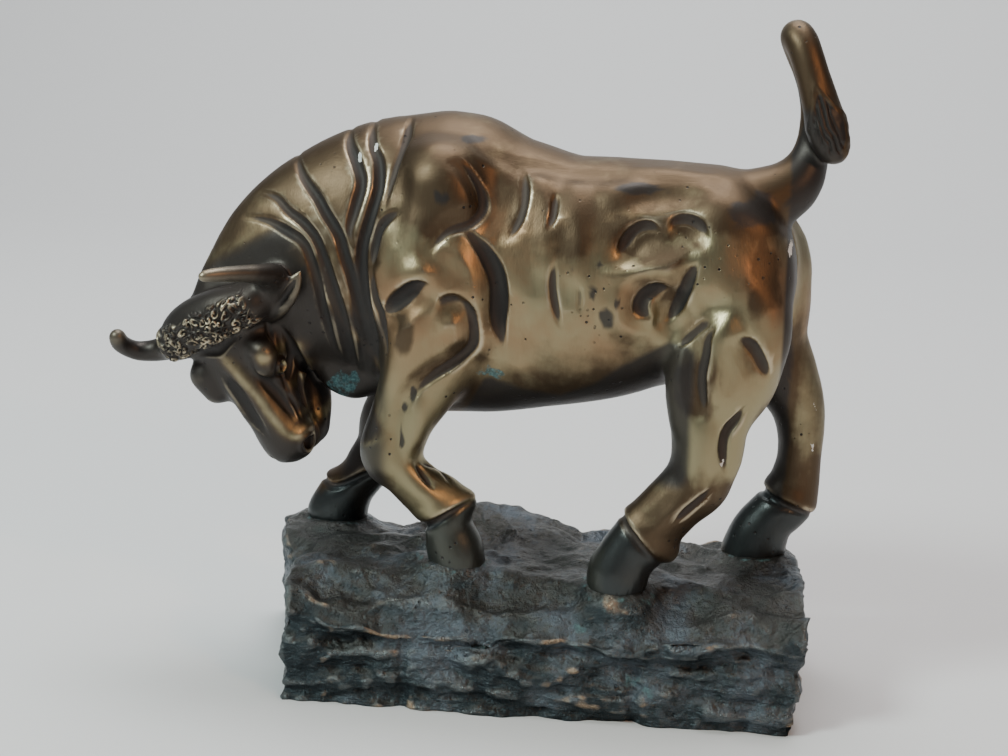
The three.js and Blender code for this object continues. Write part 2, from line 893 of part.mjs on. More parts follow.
const RIGHT_FACE = [
  [-55, 116],
  [0, 115],
  [50, 111],
];
const SEAMS = [-60, 42];
const LEDGE_Z = 33;
const LEDGE_WANDER = 3.2;
const CREST_Y = -41;
const WAVE_HEIGHT = 1.6;
const NOTCH = [-126, -2, 15, 12];

// Where the rock swells round each hoof: x, y, height and reach
const MOUNDS = [
  [-43, -18, 60, 17],
  [33, -30, 57.5, 18],
  [-107, 41, 57.5, 17],
  [95, 27, 57, 17],
];

// Sets side-view lines (x, z) on both flanks of a field
function onFlanks(field, lines, nearOnly = []) {
  return [-1, 1].flatMap((side) =>
    lines
      .filter((line) => side < 0 || !nearOnly.includes(line))
      .map(([points, radius, depth]) => [
        points.map((p) => field.land(p, side)),
        radius,
        side < 0 ? depth : depth * FAR_SHARE,
      ]),
  );
}

// Beside each wide fold, to its lower left, a wider and shallower one
function scooped(lines) {
  return lines
    .filter(([, radius]) => radius >= SCOOP.leastRadius)
    .map(([points, radius, depth]) => {
      const sides = points.map((_, i) => {
        const [ax, az] = points[Math.max(i - 1, 0)];
        const [bx, bz] = points[Math.min(i + 1, points.length - 1)];
        const length = Math.hypot(bx - ax, bz - az);
        return [(az - bz) / length, (bx - ax) / length];
      });
      const lean = sides.reduce((sum, [x, z]) => sum - 0.8 * x - 0.6 * z, 0);
      const shift = Math.sign(lean) * radius * SCOOP.shift;
      const moved = points.map(([x, z], i) => [x + sides[i][0] * shift, z + sides[i][1] * shift]);
      return [moved, radius * SCOOP.width, depth * SCOOP.depth];
    });
}

function onHead(lines) {
  return lines.map(([points, radius, depth]) => [points.map(headPoint), radius, depth]);
}

// A loop round a leg, tilted in the side view, that meets itself at the back
function cuffRing([middle, radius, tilt, width, depth], lift = 0) {
  const lean = (tilt * Math.PI) / 180;
  const start = add(middle, [-lift * Math.sin(lean), 0, lift * Math.cos(lean)]);
  const places = Array.from({ length: 16 }, (_, i) => {
    const turn = -CUFF_OVERLAP + (i * 2 * (Math.PI + CUFF_OVERLAP)) / 15;
    const across = radius * Math.cos(turn);
    return add(start, [across * Math.cos(lean), radius * Math.sin(turn), across * Math.sin(lean)]);
  });
  return [places, width, depth];
}

// The whole bull as fine field values
function bullField() {
  const coarse = new Lattice(BULL_LOW, BULL_HIGH, COARSE_STEP);
  coarse.join(TUBES);
  coarse.join(surfaceCords(coarse, onFlanks(coarse, MUSCLES, NEAR_ONLY), -1), 7);
  coarse.join(surfaceCords(coarse, onHead(HEAD_RIDGES), -1), 3);
  const lips = CUFFS.map(([middle, radius, tilt]) =>
    cuffRing([middle, radius, tilt, CUFF_LIP.radius, CUFF_LIP.height], CUFF_LIP.lift),
  );
  coarse.join(surfaceCords(coarse, lips, -1), 3);
  coarse.cut(surfaceCords(coarse, onFlanks(coarse, HOLLOWS), 1), HOLLOW_ROUNDING);
  const sideFolds = [...NECK_FOLDS, ...SHOULDER_FOLDS, ...FLANK_FOLDS];
  const scoops = surfaceCords(coarse, onFlanks(coarse, scooped([...SHOULDER_FOLDS, ...FLANK_FOLDS])), 1);
  const folds = [
    ...surfaceCords(coarse, onFlanks(coarse, sideFolds, NEAR_ONLY), 1),
    ...surfaceCords(coarse, REAR_FOLDS, 1),
    ...surfaceCords(coarse, CUFFS.map((cuff) => cuffRing(cuff)), 1),
    ...surfaceCords(coarse, onHead(HEAD_FOLDS), 1),
  ];
  const fine = new Lattice(add(BULL_LOW, [4, 4, 4]), sub(BULL_HIGH, [4, 4, 4]), BULL_STEP);
  for (let i = 0; i < fine.size[0]; i++)
    for (let j = 0; j < fine.size[1]; j++)
      for (let k = 0; k < fine.size[2]; k++)
        fine.values[fine.index(i, j, k)] = coarse.quick(fine.place(i, j, k));
  fine.cut(scoops, SCOOP.rounding);
  fine.cut(folds, FOLD_ROUNDING);
  return fine;
}

// Six tetrahedra that fill a cell, and how their corners are read by which of them are inside
const TETS = [
  [0, 1, 3, 7],
  [0, 5, 1, 7],
  [0, 3, 2, 7],
  [0, 2, 6, 7],
  [0, 4, 5, 7],
  [0, 6, 4, 7],
];
const ONE_INSIDE = { 1: [0, 1, 2, 3], 2: [1, 0, 3, 2], 4: [2, 0, 1, 3], 8: [3, 0, 2, 1] };
const TWO_INSIDE = {
  3: [0, 1, 2, 3],
  5: [0, 2, 3, 1],
  9: [0, 3, 1, 2],
  6: [1, 2, 0, 3],
  10: [1, 3, 2, 0],
  12: [2, 3, 0, 1],
};

// The closed surface where a lattice's values reach the level, by marching tetrahedra
function surfaceOf(lattice, level = 0) {
  const points = [];
  const faces = [];
  const made = new Map();
  const { size, values } = lattice;
  const pointBetween = (i, j, k, a, b) => {
    if (a > b) [a, b] = [b, a];
    const from = lattice.index(i + (a & 1), j + ((a >> 1) & 1), k + (a >> 2));
    const key = from * 8 + (b - a);
    if (!made.has(key)) {
      const to = lattice.index(i + (b & 1), j + ((b >> 1) & 1), k + (b >> 2));
      const va = values[from] - level;
      const vb = values[to] - level;
      const t = clamp(va / (va - vb), 0.05, 0.95);
      const p = lattice.place(i + (a & 1), j + ((a >> 1) & 1), k + (a >> 2));
      const q = lattice.place(i + (b & 1), j + ((b >> 1) & 1), k + (b >> 2));
      made.set(key, points.push(add(p, scale(sub(q, p), t))) - 1);
    }
    return made.get(key);
  };
  for (let i = 0; i < size[0] - 1; i++)
    for (let j = 0; j < size[1] - 1; j++)
      for (let k = 0; k < size[2] - 1; k++) {
        let inside = 0;
        for (let c = 0; c < 8; c++)
          if (values[lattice.index(i + (c & 1), j + ((c >> 1) & 1), k + (c >> 2))] < level)
            inside |= 1 << c;
        if (inside === 0 || inside === 255) continue;
        for (const tet of TETS) {
          let mask = 0;
          tet.forEach((c, n) => (mask |= ((inside >> c) & 1) << n));
          if (mask === 0 || mask === 15) continue;
          const at = (a, b) => pointBetween(i, j, k, tet[a], tet[b]);
          if (TWO_INSIDE[mask]) {
            const [p, q, r, s] = TWO_INSIDE[mask];
            faces.push([at(p, r), at(p, s), at(q, s)], [at(p, r), at(q, s), at(q, r)]);
          } else {
            const [p, a, b, c] = ONE_INSIDE[mask] ?? ONE_INSIDE[15 - mask];
            faces.push(ONE_INSIDE[mask] ? [at(p, a), at(p, b), at(p, c)] : [at(p, a), at(p, c), at(p, b)]);
          }
        }
      }
  return { points, faces };
}

// A heap of [cost, a, b, stamp of a, stamp of b], least cost first
class Heap {
  items = [];

  push(item) {
    const h = this.items;
    let i = h.push(item) - 1;
    while (i > 0) {
      const up = (i - 1) >> 1;
      if (h[up][0] <= item[0]) break;
      h[i] = h[up];
      i = up;
    }
    h[i] = item;
  }

  pop() {
    const h = this.items;
    const top = h[0];
    const item = h.pop();
    let i = 0;
    while (h.length) {
      let down = 2 * i + 1;
      if (down >= h.length) break;
      if (down + 1 < h.length && h[down + 1][0] < h[down][0]) down++;
      if (h[down][0] >= item[0]) break;
      h[i] = h[down];
      i = down;
    }
    if (h.length) h[i] = item;
    return top;
  }
}

// Thins a closed surface to a number of triangles, keeping its form (quadric error, edge by edge)
function thin({ points, faces }, goal) {
  const quadric = points.map(() => new Float64Array(10));
  const around = points.map(() => []);
  const stamp = new Int32Array(points.length);
  const alive = new Uint8Array(faces.length).fill(1);
  let left = faces.length;
  const normalOf = (a, b, c) => cross(sub(b, a), sub(c, a));
  faces.forEach((f, n) => {
    const raw = normalOf(...f.map((v) => points[v]));
    const area = Math.hypot(...raw);
    const m = area > 1e-12 ? scale(raw, 1 / area) : [0, 0, 0];
    const d = -dot(m, points[f[0]]);
    const v = [...m, d];
    for (const p of f) {
      around[p].push(n);
      let at = 0;
      for (let i = 0; i < 4; i++) for (let j = i; j < 4; j++) quadric[p][at++] += v[i] * v[j] * area;
    }
  });
  const cost = (q, [x, y, z]) =>
    q[0] * x * x + 2 * q[1] * x * y + 2 * q[2] * x * z + 2 * q[3] * x + q[4] * y * y + 2 * q[5] * y * z +
    2 * q[6] * y + q[7] * z * z + 2 * q[8] * z + q[9];
  const bestPoint = (a, b) => {
    const q = quadric[a].map((v, i) => v + quadric[b][i]);
    const middle = scale(add(points[a], points[b]), 0.5);
    const rows = [
      [q[0], q[1], q[2]],
      [q[1], q[4], q[5]],
      [q[2], q[5], q[7]],
    ];
    const det = dot(rows[0], cross(rows[1], rows[2]));
    const size = q[0] + q[4] + q[7];
    const choices = [points[a], points[b], middle];
    if (Math.abs(det) > 1e-5 * size ** 3) {
      const r = [-q[3], -q[6], -q[8]];
      const p = [0, 1, 2].map((column) => {
        const [u, v, w] = rows.map((values, i) => values.map((value, j) => (j === column ? r[i] : value)));
        return dot(u, cross(v, w)) / det;
      });
      if (Math.hypot(...sub(p, middle)) < 2 * Math.hypot(...sub(points[a], points[b]))) choices.push(p);
    }
    const priced = choices.map((p) => [cost(q, p), p]).sort((m, n) => m[0] - n[0])[0];
    const span = sub(points[a], points[b]);
    return [Math.max(priced[0], 0) + 2e-4 * dot(span, span) ** 2, priced[1]];
  };
  const heap = new Heap();
  const offer = (a, b) => heap.push([bestPoint(a, b)[0], a, b, stamp[a], stamp[b]]);
  const neighbours = (v) => {
    const out = new Set();
    for (const n of around[v]) for (const p of faces[n]) if (p !== v) out.add(p);
    return out;
  };
  const flips = (v, other, to) =>
    around[v].some((n) => {
      const f = faces[n];
      if (f.includes(other)) return false;
      const before = normalOf(...f.map((p) => points[p]));
      const after = normalOf(...f.map((p) => (p === v ? to : points[p])));
      const size = Math.hypot(...after);
      return size < 1e-4 || dot(before, after) < 0.25 * Math.hypot(...before) * size;
    });
  for (let v = 0; v < points.length; v++) for (const n of neighbours(v)) if (v < n) offer(v, n);
  while (left > goal && heap.items.length) {
    const [, a, b, sa, sb] = heap.pop();
    if (stamp[a] !== sa || stamp[b] !== sb) continue;
    const nearB = neighbours(b);
    const shared = [...neighbours(a)].filter((v) => nearB.has(v));
    if (shared.length !== 2) continue;
    const to = bestPoint(a, b)[1];
    if (flips(a, b, to) || flips(b, a, to)) continue;
    points[a] = to;
    for (let i = 0; i < 10; i++) quadric[a][i] += quadric[b][i];
    for (const n of around[b]) {
      if (faces[n].includes(a)) {
        alive[n] = 0;
        left--;
      } else {
        faces[n] = faces[n].map((p) => (p === b ? a : p));
        around[a].push(n);
      }
    }
    around[b] = [];
    stamp[b]++;
    stamp[a]++;
    for (const v of [a, ...shared]) around[v] = around[v].filter((n) => alive[n]);
    for (const v of neighbours(a)) offer(a, v);
  }
  return compact(points, faces.filter((f, n) => alive[n]));
}

function compact(points, faces) {
  const renamed = new Map();
  const kept = [];
  const out = faces.map((f) =>
    f.map((v) => {
      if (!renamed.has(v)) renamed.set(v, kept.push(points[v]) - 1);
      return renamed.get(v);
    }),
  );
  return { points: kept, faces: out };
}

// Even, repeatable noise from whole-number corners
function cornerValue(i, j, k) {
  let h = Math.imul(i, 374761393) ^ Math.imul(j, 668265263) ^ Math.imul(k, 2147483647);
  h = Math.imul(h ^ (h >>> 13), 1274126177);
  return ((h ^ (h >>> 16)) >>> 0) / 4294967295;
}

function noise(x, y, z) {
  const i = Math.floor(x);
  const j = Math.floor(y);
  const k = Math.floor(z);
  const ease = (t) => t * t * (3 - 2 * t);
  const u = ease(x - i);
  const v = ease(y - j);
  const w = ease(z - k);
  const mix = (a, b, t) => a + (b - a) * t;
  const row = (b, c) => mix(cornerValue(i, b, c), cornerValue(i + 1, b, c), u);
  const sheet = (c) => mix(row(j, c), row(j + 1, c), v);
  return mix(sheet(k), sheet(k + 1), w) * 2 - 1;
}

// A value read off a list of [place, value] pairs
function along(list, place) {
  if (place <= list[0][0]) return list[0][1];
  for (let i = 1; i < list.length; i++)
    if (place <= list[i][0]) {
      const [a, va] = list[i - 1];
      const [b, vb] = list[i];
      return va + ((vb - va) * (place - a)) / (b - a);
    }
  return list[list.length - 1][1];
}

const rise = (from, to, v) => {
  const t = clamp((v - from) / (to - from), 0, 1);
  return t * t * (3 - 2 * t);
};

// Height of the rock's top
function rockTop(x, y) {
  const front = along(FRONT_RIM, x);
  const back = along(BACK_RIM, x);
  const crest = Math.max(front + 7, 46) + 1.5 * Math.sin(x / 11);
  let h = front + (crest - front) * rise(-ROCK_DEPTH / 2, CREST_Y, y);
  h += (SOLE_HEIGHT + 0.8 - crest) * rise(CREST_Y, CREST_Y + 17, y);
  h += (back - SOLE_HEIGHT - 0.8) * rise(20, ROCK_DEPTH / 2 - 6, y);
  const sweep = (x * 0.35 + y) / 9 + 1.2 * noise(x / 30, y / 30, 5);
  h += WAVE_HEIGHT * (1 - 2 * Math.abs(Math.sin(sweep))) * (0.4 + 0.6 * noise(x / 25, y / 25, 9) ** 2);
  h += 2.2 * noise(x / 16, y / 12, 1) + 1.1 * noise(x / 7, y / 6, 2);
  for (const [mx, my, height, reach] of MOUNDS)
    h += (height - h) * Math.exp(-((Math.hypot(x - mx, y - my) / reach) ** 4));
  const dx = (x - NOTCH[0]) / NOTCH[2];
  const dy = (y - NOTCH[1]) / NOTCH[2];
  return h - NOTCH[3] * Math.exp(-(dx * dx + dy * dy));
}

// The rock's field: below its top and inside its four rough sides
function rockField(x, y, z) {
  const lift = along(LEDGE_LIFT, x) + LEDGE_WANDER * noise(x / 13, 3, 5);
  const layers = Math.sin(z / 2.1 + 2.5 * noise(x / 28, 3, z / 18));
  const strata = 1.3 * layers * rise(LEDGE_Z + 1, LEDGE_Z - 4, z - lift);
  const seam = SEAMS.reduce((sum, at) => sum + 2.4 * Math.exp(-(((x - at) / 3) ** 2)), 0);
  const rough = 1.8 * noise(x / 13, y / 13, z / 9) + 0.8 * noise(x / 5, y / 5, z / 4);
  const ledge = along(FRONT_FACE, z - lift * rise(8, 26, z));
  const front = ledge + strata * 0.8 + rough + seam * rise(LEDGE_Z + 2, LEDGE_Z - 6, z);
  const back = ROCK_DEPTH / 2 - 2 + 0.6 * rough;
  const left = along(LEFT_FACE, y) + strata * 0.6 + rough;
  const right = along(RIGHT_FACE, y) + (z - 45) * 0.1 - strata * 0.6 + rough;
  const sides = [front - y, y - back, left - x, x - right];
  return sides.reduce((f, s) => -smoothMin(-f, -s, 2.5), (z - rockTop(x, y)) * 0.85);
}

function rockLattice() {
  const lattice = new Lattice([-150, -66, -8], [128, 64, 84], ROCK_STEP);
  for (let i = 0; i < lattice.size[0]; i++)
    for (let j = 0; j < lattice.size[1]; j++)
      for (let k = 0; k < lattice.size[2]; k++) {
        const [x, y, z] = lattice.place(i, j, k);
        const rim = Math.min(i, j, k, lattice.size[0] - 1 - i, lattice.size[1] - 1 - j);
        lattice.values[lattice.index(i, j, k)] = rim < 1 ? ROCK_STEP : rockField(x, y, z);
      }
  return lattice;
}

// The part of a lattice below a height, as its own lattice
function lowerPart(lattice, height) {
  const part = new Lattice(lattice.low, [...sub(BULL_HIGH, [4, 4, 4]).slice(0, 2), height], lattice.step);
  for (let i = 0; i < part.size[0]; i++)
    for (let j = 0; j < part.size[1]; j++)
      for (let k = 0; k < part.size[2]; k++) {
        const top = k === part.size[2] - 1 ? FAR_AWAY : lattice.values[lattice.index(i, j, k)];
        part.values[part.index(i, j, k)] = top;
      }
  return part;
}

// Solids that can be joined and cut
const kernel = await Module();
kernel.setup();

function solidOf({ points, faces }) {
  return new kernel.Manifold(
    new kernel.Mesh({
      numProp: 3,
      vertProperties: new Float32Array(points.flat()),
      triVerts: new Uint32Array(faces.flat()),
    }),
  );
}

function meshOf(solid, name, material) {
  const m = solid.getMesh();
  const positions = new Float32Array(m.numVert * 3);
  for (let i = 0; i < m.numVert; i++)
    positions.set(m.vertProperties.subarray(i * m.numProp, i * m.numProp + 3), i * 3);
  const geometry = new THREE.BufferGeometry();
  geometry.setAttribute("position", new THREE.BufferAttribute(positions, 3));
  geometry.setIndex(new THREE.BufferAttribute(new Uint32Array(m.triVerts), 1));
  geometry.computeVertexNormals();
  const mesh = new THREE.Mesh(geometry, material);
  mesh.name = name;
  return mesh;
}

// The bull stands on flat soles, and the rock is hollowed a hair wider than its hooves
const field = bullField();
const bull = solidOf(thin(surfaceOf(field), BULL_TRIANGLES)).trimByPlane([0, 0, 1], SOLE_HEIGHT);
const hoofSpace = solidOf(thin(surfaceOf(lowerPart(field, 84), HOOF_GAP), 1400)).trimByPlane(
  [0, 0, 1],
  SOLE_HEIGHT - HOOF_GAP,
);
const rock = solidOf(thin(surfaceOf(rockLattice()), ROCK_TRIANGLES))
  .trimByPlane([0, 0, 1], 0)
  .subtract(hoofSpace);
const biggest = (solid) => solid.decompose().sort((a, b) => b.volume() - a.volume())[0];

const brass = new THREE.MeshStandardMaterial({ color: 0x8a7848, roughness: 0.34, metalness: 1 });
const darkBronze = new THREE.MeshStandardMaterial({ color: 0x2f3430, roughness: 0.55, metalness: 0.8 });

const part = new THREE.Group();
part.name = "bull_on_rock";
part.add(meshOf(biggest(bull), "bull", brass));
part.add(meshOf(biggest(rock), "rock_base", darkBronze));

export default part;
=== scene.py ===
"""A cast brass bull on a block of rough bronze rock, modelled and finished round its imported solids.

The bull faces -X and its near flank is on -Y. Shapes are worked out in millimetres and stored in metres.
The bull's flowing form is a field of smoothly joined oval tubes, with muscles raised and folds cut in.
"""
from math import cos, pi, radians, sin

import bpy
import numpy as np
from mathutils import Matrix, Vector


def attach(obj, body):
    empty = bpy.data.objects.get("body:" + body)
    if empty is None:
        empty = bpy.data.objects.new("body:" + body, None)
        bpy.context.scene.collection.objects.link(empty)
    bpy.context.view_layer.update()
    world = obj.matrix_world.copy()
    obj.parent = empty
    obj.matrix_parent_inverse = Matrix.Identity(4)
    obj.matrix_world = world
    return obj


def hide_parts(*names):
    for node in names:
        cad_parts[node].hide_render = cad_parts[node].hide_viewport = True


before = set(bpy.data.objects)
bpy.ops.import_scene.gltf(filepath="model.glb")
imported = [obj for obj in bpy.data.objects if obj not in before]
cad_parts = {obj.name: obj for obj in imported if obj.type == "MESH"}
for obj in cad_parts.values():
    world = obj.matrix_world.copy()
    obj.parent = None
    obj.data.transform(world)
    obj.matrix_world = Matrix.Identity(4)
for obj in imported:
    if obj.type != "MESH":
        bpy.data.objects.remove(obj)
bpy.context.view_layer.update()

MM = 0.001

# Driving dimensions of the forms, in millimetres
ROCK_LENGTH, ROCK_DEPTH, ROCK_HEIGHT = 252, 108, 46
SOLE_HEIGHT = 54.6
COARSE_STEP = 2.5
FINE_TIMES = 3
BULL_LOW = (-215, -76, 30)
BULL_HIGH = (135, 76, 312.5)
BODY_MIDDLE = 4
CLEAR_OF_FLANK = 72.0
FAR_SHARE = 0.8
FAR_AWAY = 60.0
BULL_FACES = 78500
ROCK_CELL = 0.98
SCOOP_FROM = 2.7
CUFF_LIP = (3.4, 1.1, 4.2)
TUFT_MIDDLE = (110.5, 261)
TUFT_LEAN = (0.364, -0.931)
EYE = (-18, 30.5, -5)
NOSTRIL = (-10.8, 68.5, -4.5)

# How the photograph was taken
CAMERA_PLACE = (0.0542, -0.7455, 0.3197)
CAMERA_YAW, CAMERA_PITCH, CAMERA_ROLL = 6.0, 13.5, 1.75
FOCAL_PIXELS, IMAGE_WIDTH, SENSOR_WIDTH = 1700, 1008, 36
SWEEP_Y = 2.2


# Curves, tubes and cords


def unit(v):
    v = np.asarray(v, float)
    return v / np.linalg.norm(v)


def curve(rows, steps):
    """A smooth curve through rows of numbers."""
    rows = np.asarray(rows, float)
    if len(rows) == 2:
        return rows
    ends = np.vstack([rows[:1], rows, rows[-1:]])
    t = (np.arange(steps) / steps)[:, None]
    out = []
    for p0, p1, p2, p3 in zip(ends, ends[1:], ends[2:], ends[3:]):
        bend = 2 * p0 - 5 * p1 + 4 * p2 - p3
        twist = 3 * p1 - p0 - 3 * p2 + p3
        out.append(0.5 * (2 * p1 + (p2 - p0) * t + bend * t ** 2 + twist * t ** 3))
    return np.vstack(out + [rows[-1:]])


class Tube:
    """A tube of oval section. Each row is x, y, z and one radius, or front, back and side radii."""

    def __init__(self, name, rows, blend, side_axis=(0, 1, 0), cap=1.0):
        rows = np.asarray(rows, float)
        if rows.shape[1] == 4:
            rows = np.c_[rows, rows[:, 3], rows[:, 3]]
        self.name, self.blend, self.cap = name, blend, cap
        self.rows = curve(rows, 8)
        self.side = unit(side_axis)
        widest = self.rows[:, 3:].max(axis=1)[:, None]
        self.low = (self.rows[:, :3] - widest).min(axis=0)
        self.high = (self.rows[:, :3] + widest).max(axis=0)

    def distance(self, places):
        best = np.full(len(places), 1e9)
        for a, b in zip(self.rows[:-1], self.rows[1:]):
            length = np.linalg.norm(b[:3] - a[:3])
            onward = (b[:3] - a[:3]) / length
            across = unit(self.side - onward * (self.side @ onward))
            upward = np.cross(across, onward)
            q = places - a[:3]
            run = q @ onward
            h = np.clip(run / length, 0, 1)
            n = q @ upward
            s = q @ across
            t = run - h * length
            rn = np.where(n > 0, a[3] + h * (b[3] - a[3]), a[4] + h * (b[4] - a[4]))
            rs = a[5] + h * (b[5] - a[5])
            rt = np.minimum(rn, rs) * self.cap
            inner = np.sqrt((n / rn) ** 2 + (s / rs) ** 2 + (t / rt) ** 2)
            slope = np.sqrt((n / rn ** 2) ** 2 + (s / rs ** 2) ** 2 + (t / rt ** 2) ** 2) + 1e-9
            np.minimum(best, inner * (inner - 1) / slope, out=best)
        return best


class Cord:
    """A plain round cord through rows of x, y, z and radius."""

    def __init__(self, rows):
        self.rows = rows
        self.low = (rows[:, :3] - rows[:, 3:]).min(axis=0)
        self.high = (rows[:, :3] + rows[:, 3:]).max(axis=0)

    def distance(self, places):
        best = np.full(len(places), 1e9)
        for a, b in zip(self.rows[:-1], self.rows[1:]):
            d = b[:3] - a[:3]
            q = places - a[:3]
            h = np.clip((q @ d) / max(d @ d, 1e-9), 0, 1)
            gap = np.linalg.norm(q - h[:, None] * d, axis=1)
            np.minimum(best, gap - (a[3] + h * (b[3] - a[3])), out=best)
        return best


def smooth_min(a, b, k):
    if k <= 0:
        return np.minimum(a, b)
    h = np.clip(0.5 + 0.5 * (b - a) / k, 0, 1)
    return b + (a - b) * h - k * h * (1 - h)


def smooth_max(a, b, k):
    return -smooth_min(-a, -b, k)


def spline_weights(t):
    """The four weights of a uniform cubic B-spline at t between two steps."""
    before, after = (3 * t ** 3 - 6 * t ** 2 + 4) / 6, (-3 * t ** 3 + 3 * t ** 2 + 3 * t + 1) / 6
    return (1 - t) ** 3 / 6, before, after, t ** 3 / 6


class Lattice:
    """Distances to the surface at even steps through a box, below nought inside the metal."""

    def __init__(self, low, high, step, values=None):
        self.low, self.step = np.asarray(low, float), step
        self.size = np.ceil((np.asarray(high) - self.low) / step - 1e-6).astype(int) + 1
        self.values = np.full(self.size, FAR_AWAY, np.float32) if values is None else values

    def near(self, piece, margin):
        """The slices and the places of the lattice round a piece."""
        first = np.maximum(np.floor((piece.low - margin - self.low) / self.step).astype(int), 0)
        last = np.minimum(np.ceil((piece.high + margin - self.low) / self.step).astype(int) + 1, self.size)
        axes = [self.low[k] + self.step * np.arange(first[k], last[k]) for k in range(3)]
        places = np.stack(np.meshgrid(*axes, indexing="ij"), -1)
        return tuple(slice(a, b) for a, b in zip(first, last)), places

    def join(self, pieces, blend=None):
        for piece in pieces:
            k = piece.blend if blend is None else blend
            part, places = self.near(piece, max(12.0, k + 4))
            old = self.values[part]
            new = piece.distance(places.reshape(-1, 3)).reshape(old.shape)
            self.values[part] = smooth_min(old, new, k)

    def cut(self, pieces, rounding):
        for piece in pieces:
            part, places = self.near(piece, rounding + 4)
            old = self.values[part]
            close = (old > -8 - 2 * rounding) & (old < 4 + rounding)
            old[close] = smooth_max(old[close], -piece.distance(places[close]), rounding)

    def finer(self, times):
        """The same field in smaller steps, read through cubic B-splines, which soften it a little."""
        values = self.values
        for axis in range(3):
            v = np.moveaxis(values, axis, 0)
            count = len(v) - 3
            out = np.empty((count * times + 1,) + v.shape[1:], np.float32)
            for r in range(times):
                rows = count + (r == 0)
                parts = [w * v[k:k + rows] for k, w in enumerate(spline_weights(r / times)) if w]
                out[r::times] = sum(parts)
            values = np.moveaxis(out, 0, axis)
        low = self.low + self.step
        high = self.low + self.step * (self.size - 2)
        return Lattice(low, high, self.step / times, np.ascontiguousarray(values))

    def at(self, places):
        """Values between the lattice's steps, through cubic B-splines."""
        c = (places - self.low) / self.step
        i = np.clip(np.floor(c).astype(np.int64), 1, self.size - 3)
        w = spline_weights(np.clip(c - i, 0, 1))
        flat = self.values.ravel()
        base = (i[:, 0] * self.size[1] + i[:, 1]) * self.size[2] + i[:, 2]
        total = np.zeros(len(places))
        for dx in range(4):
            for dy in range(4):
                row = base + ((dx - 1) * self.size[1] + dy - 1) * self.size[2]
                across = w[dx][:, 0] * w[dy][:, 1]
                for dz in range(4):
                    total += across * w[dz][:, 2] * flat[row + dz - 1]
        return total

    def normal(self, places, reach=1.0):
        g = np.stack([self.at(places + d) - self.at(places - d) for d in np.eye(3) * reach], 1)
        return g / (np.linalg.norm(g, axis=1, keepdims=True) + 1e-9)

    def snap(self, places):
        places = np.array(places, float)
        for _ in range(12):
            places -= self.normal(places) * np.clip(self.at(places), -4, 4)[:, None] * 0.8
        return places

    def land(self, points, side):
        """The surface at each side-view place (x, z), met along Y from the near (-1) or far (+1) side."""
        points = np.asarray(points, float)
        places = np.stack([points[:, 0], np.full(len(points), side * CLEAR_OF_FLANK), points[:, 1]], 1)
        for _ in range(40):
            places[:, 1] -= side * np.clip(self.at(places) * 0.7, 0, 6)
            places[:, 1] = side * np.maximum(places[:, 1] * side, BODY_MIDDLE * side)
        return self.snap(places)


def surface_cords(body, strokes, sign):
    """Cords lying in a body's surface, to be cut in (sign +1) or raised (-1)."""
    parts = [curve(points, 4) for points, radius, depth in strokes]
    ends = np.cumsum([len(part) for part in parts])
    places = body.snap(np.concatenate(parts))
    normals = body.normal(places)
    made = []
    for (_, radius, depth), part, end in zip(strokes, parts, ends):
        own = slice(end - len(part), end)
        run = np.r_[0, np.cumsum(np.linalg.norm(np.diff(part, axis=0), axis=1))]
        t = run / run[-1]
        swell = 0.1 + 0.9 * np.sin(np.minimum(np.minimum(t, 1 - t) / 0.35, 1) * pi / 2)
        r = radius * (0.35 + 0.65 * swell)
        lift = sign * (r - depth * swell)
        made.append(Cord(np.c_[places[own] + normals[own] * lift[:, None], r]))
    return made


def surface_net(lattice):
    """Points and four-sided faces of the closed surface where a lattice's values cross nought."""
    values = lattice.values
    inside = values < 0
    corners = [inside[i:i - 1 or None, j:j - 1 or None, k:k - 1 or None]
               for i in (0, 1) for j in (0, 1) for k in (0, 1)]
    count = sum(c.astype(np.int8) for c in corners)
    cells = (count > 0) & (count < 8)
    number = np.full(cells.shape, -1, np.int32)
    number[cells] = np.arange(cells.sum())
    cell = np.argwhere(cells)
    total = np.zeros((len(cell), 3))
    hits = np.zeros(len(cell))
    step = np.eye(3, dtype=int)
    faces = []
    for axis in range(3):
        u, w = step[(axis + 1) % 3], step[(axis + 2) % 3]
        for start in (0 * u, u, w, u + w):
            a = values[tuple((cell + start).T)]
            b = values[tuple((cell + start + step[axis]).T)]
            crossed = (a < 0) != (b < 0)
            share = np.where(crossed, a / np.where(crossed, a - b, 1), 0)
            total += np.where(crossed[:, None], start + step[axis] * share[:, None], 0)
            hits += crossed
        first = np.take(inside, range(inside.shape[axis] - 1), axis)
        change = first != np.take(inside, range(1, inside.shape[axis]), axis)
        p = np.argwhere(change)
        p = p[(p @ u > 0) & (p @ w > 0)]
        ring = np.stack([number[tuple((p - d).T)] for d in (0 * u, u, u + w, w)], 1)
        outward = first[tuple(p.T)]
        faces += [ring[outward], ring[~outward][:, ::-1]]
    points = lattice.low + lattice.step * (cell + total / hits[:, None])
    return points, np.concatenate(faces)


# Even, repeatable noise


def corner_value(i, j, k):
    h = (i * 374761393) ^ (j * 668265263) ^ (k * 2147483647)
    h &= 0xFFFFFFFF
    h = ((h ^ (h >> 13)) * 1274126177) & 0xFFFFFFFF
    return (h ^ (h >> 16)) / 4294967295


def noise(x, y, z):
    """Smooth values from -1 to 1 that change over one unit."""
    x, y, z = np.broadcast_arrays(x, y, z)
    low = [np.floor(v).astype(np.int64) for v in (x, y, z)]
    ease = [(v - f) ** 2 * (3 - 2 * (v - f)) for v, f in zip((x, y, z), low)]
    total = 0
    for corner in np.ndindex(2, 2, 2):
        weight = 1
        for c, e in zip(corner, ease):
            weight = weight * (e if c else 1 - e)
        total = total + weight * corner_value(*(f + c for f, c in zip(low, corner)))
    return total * 2 - 1


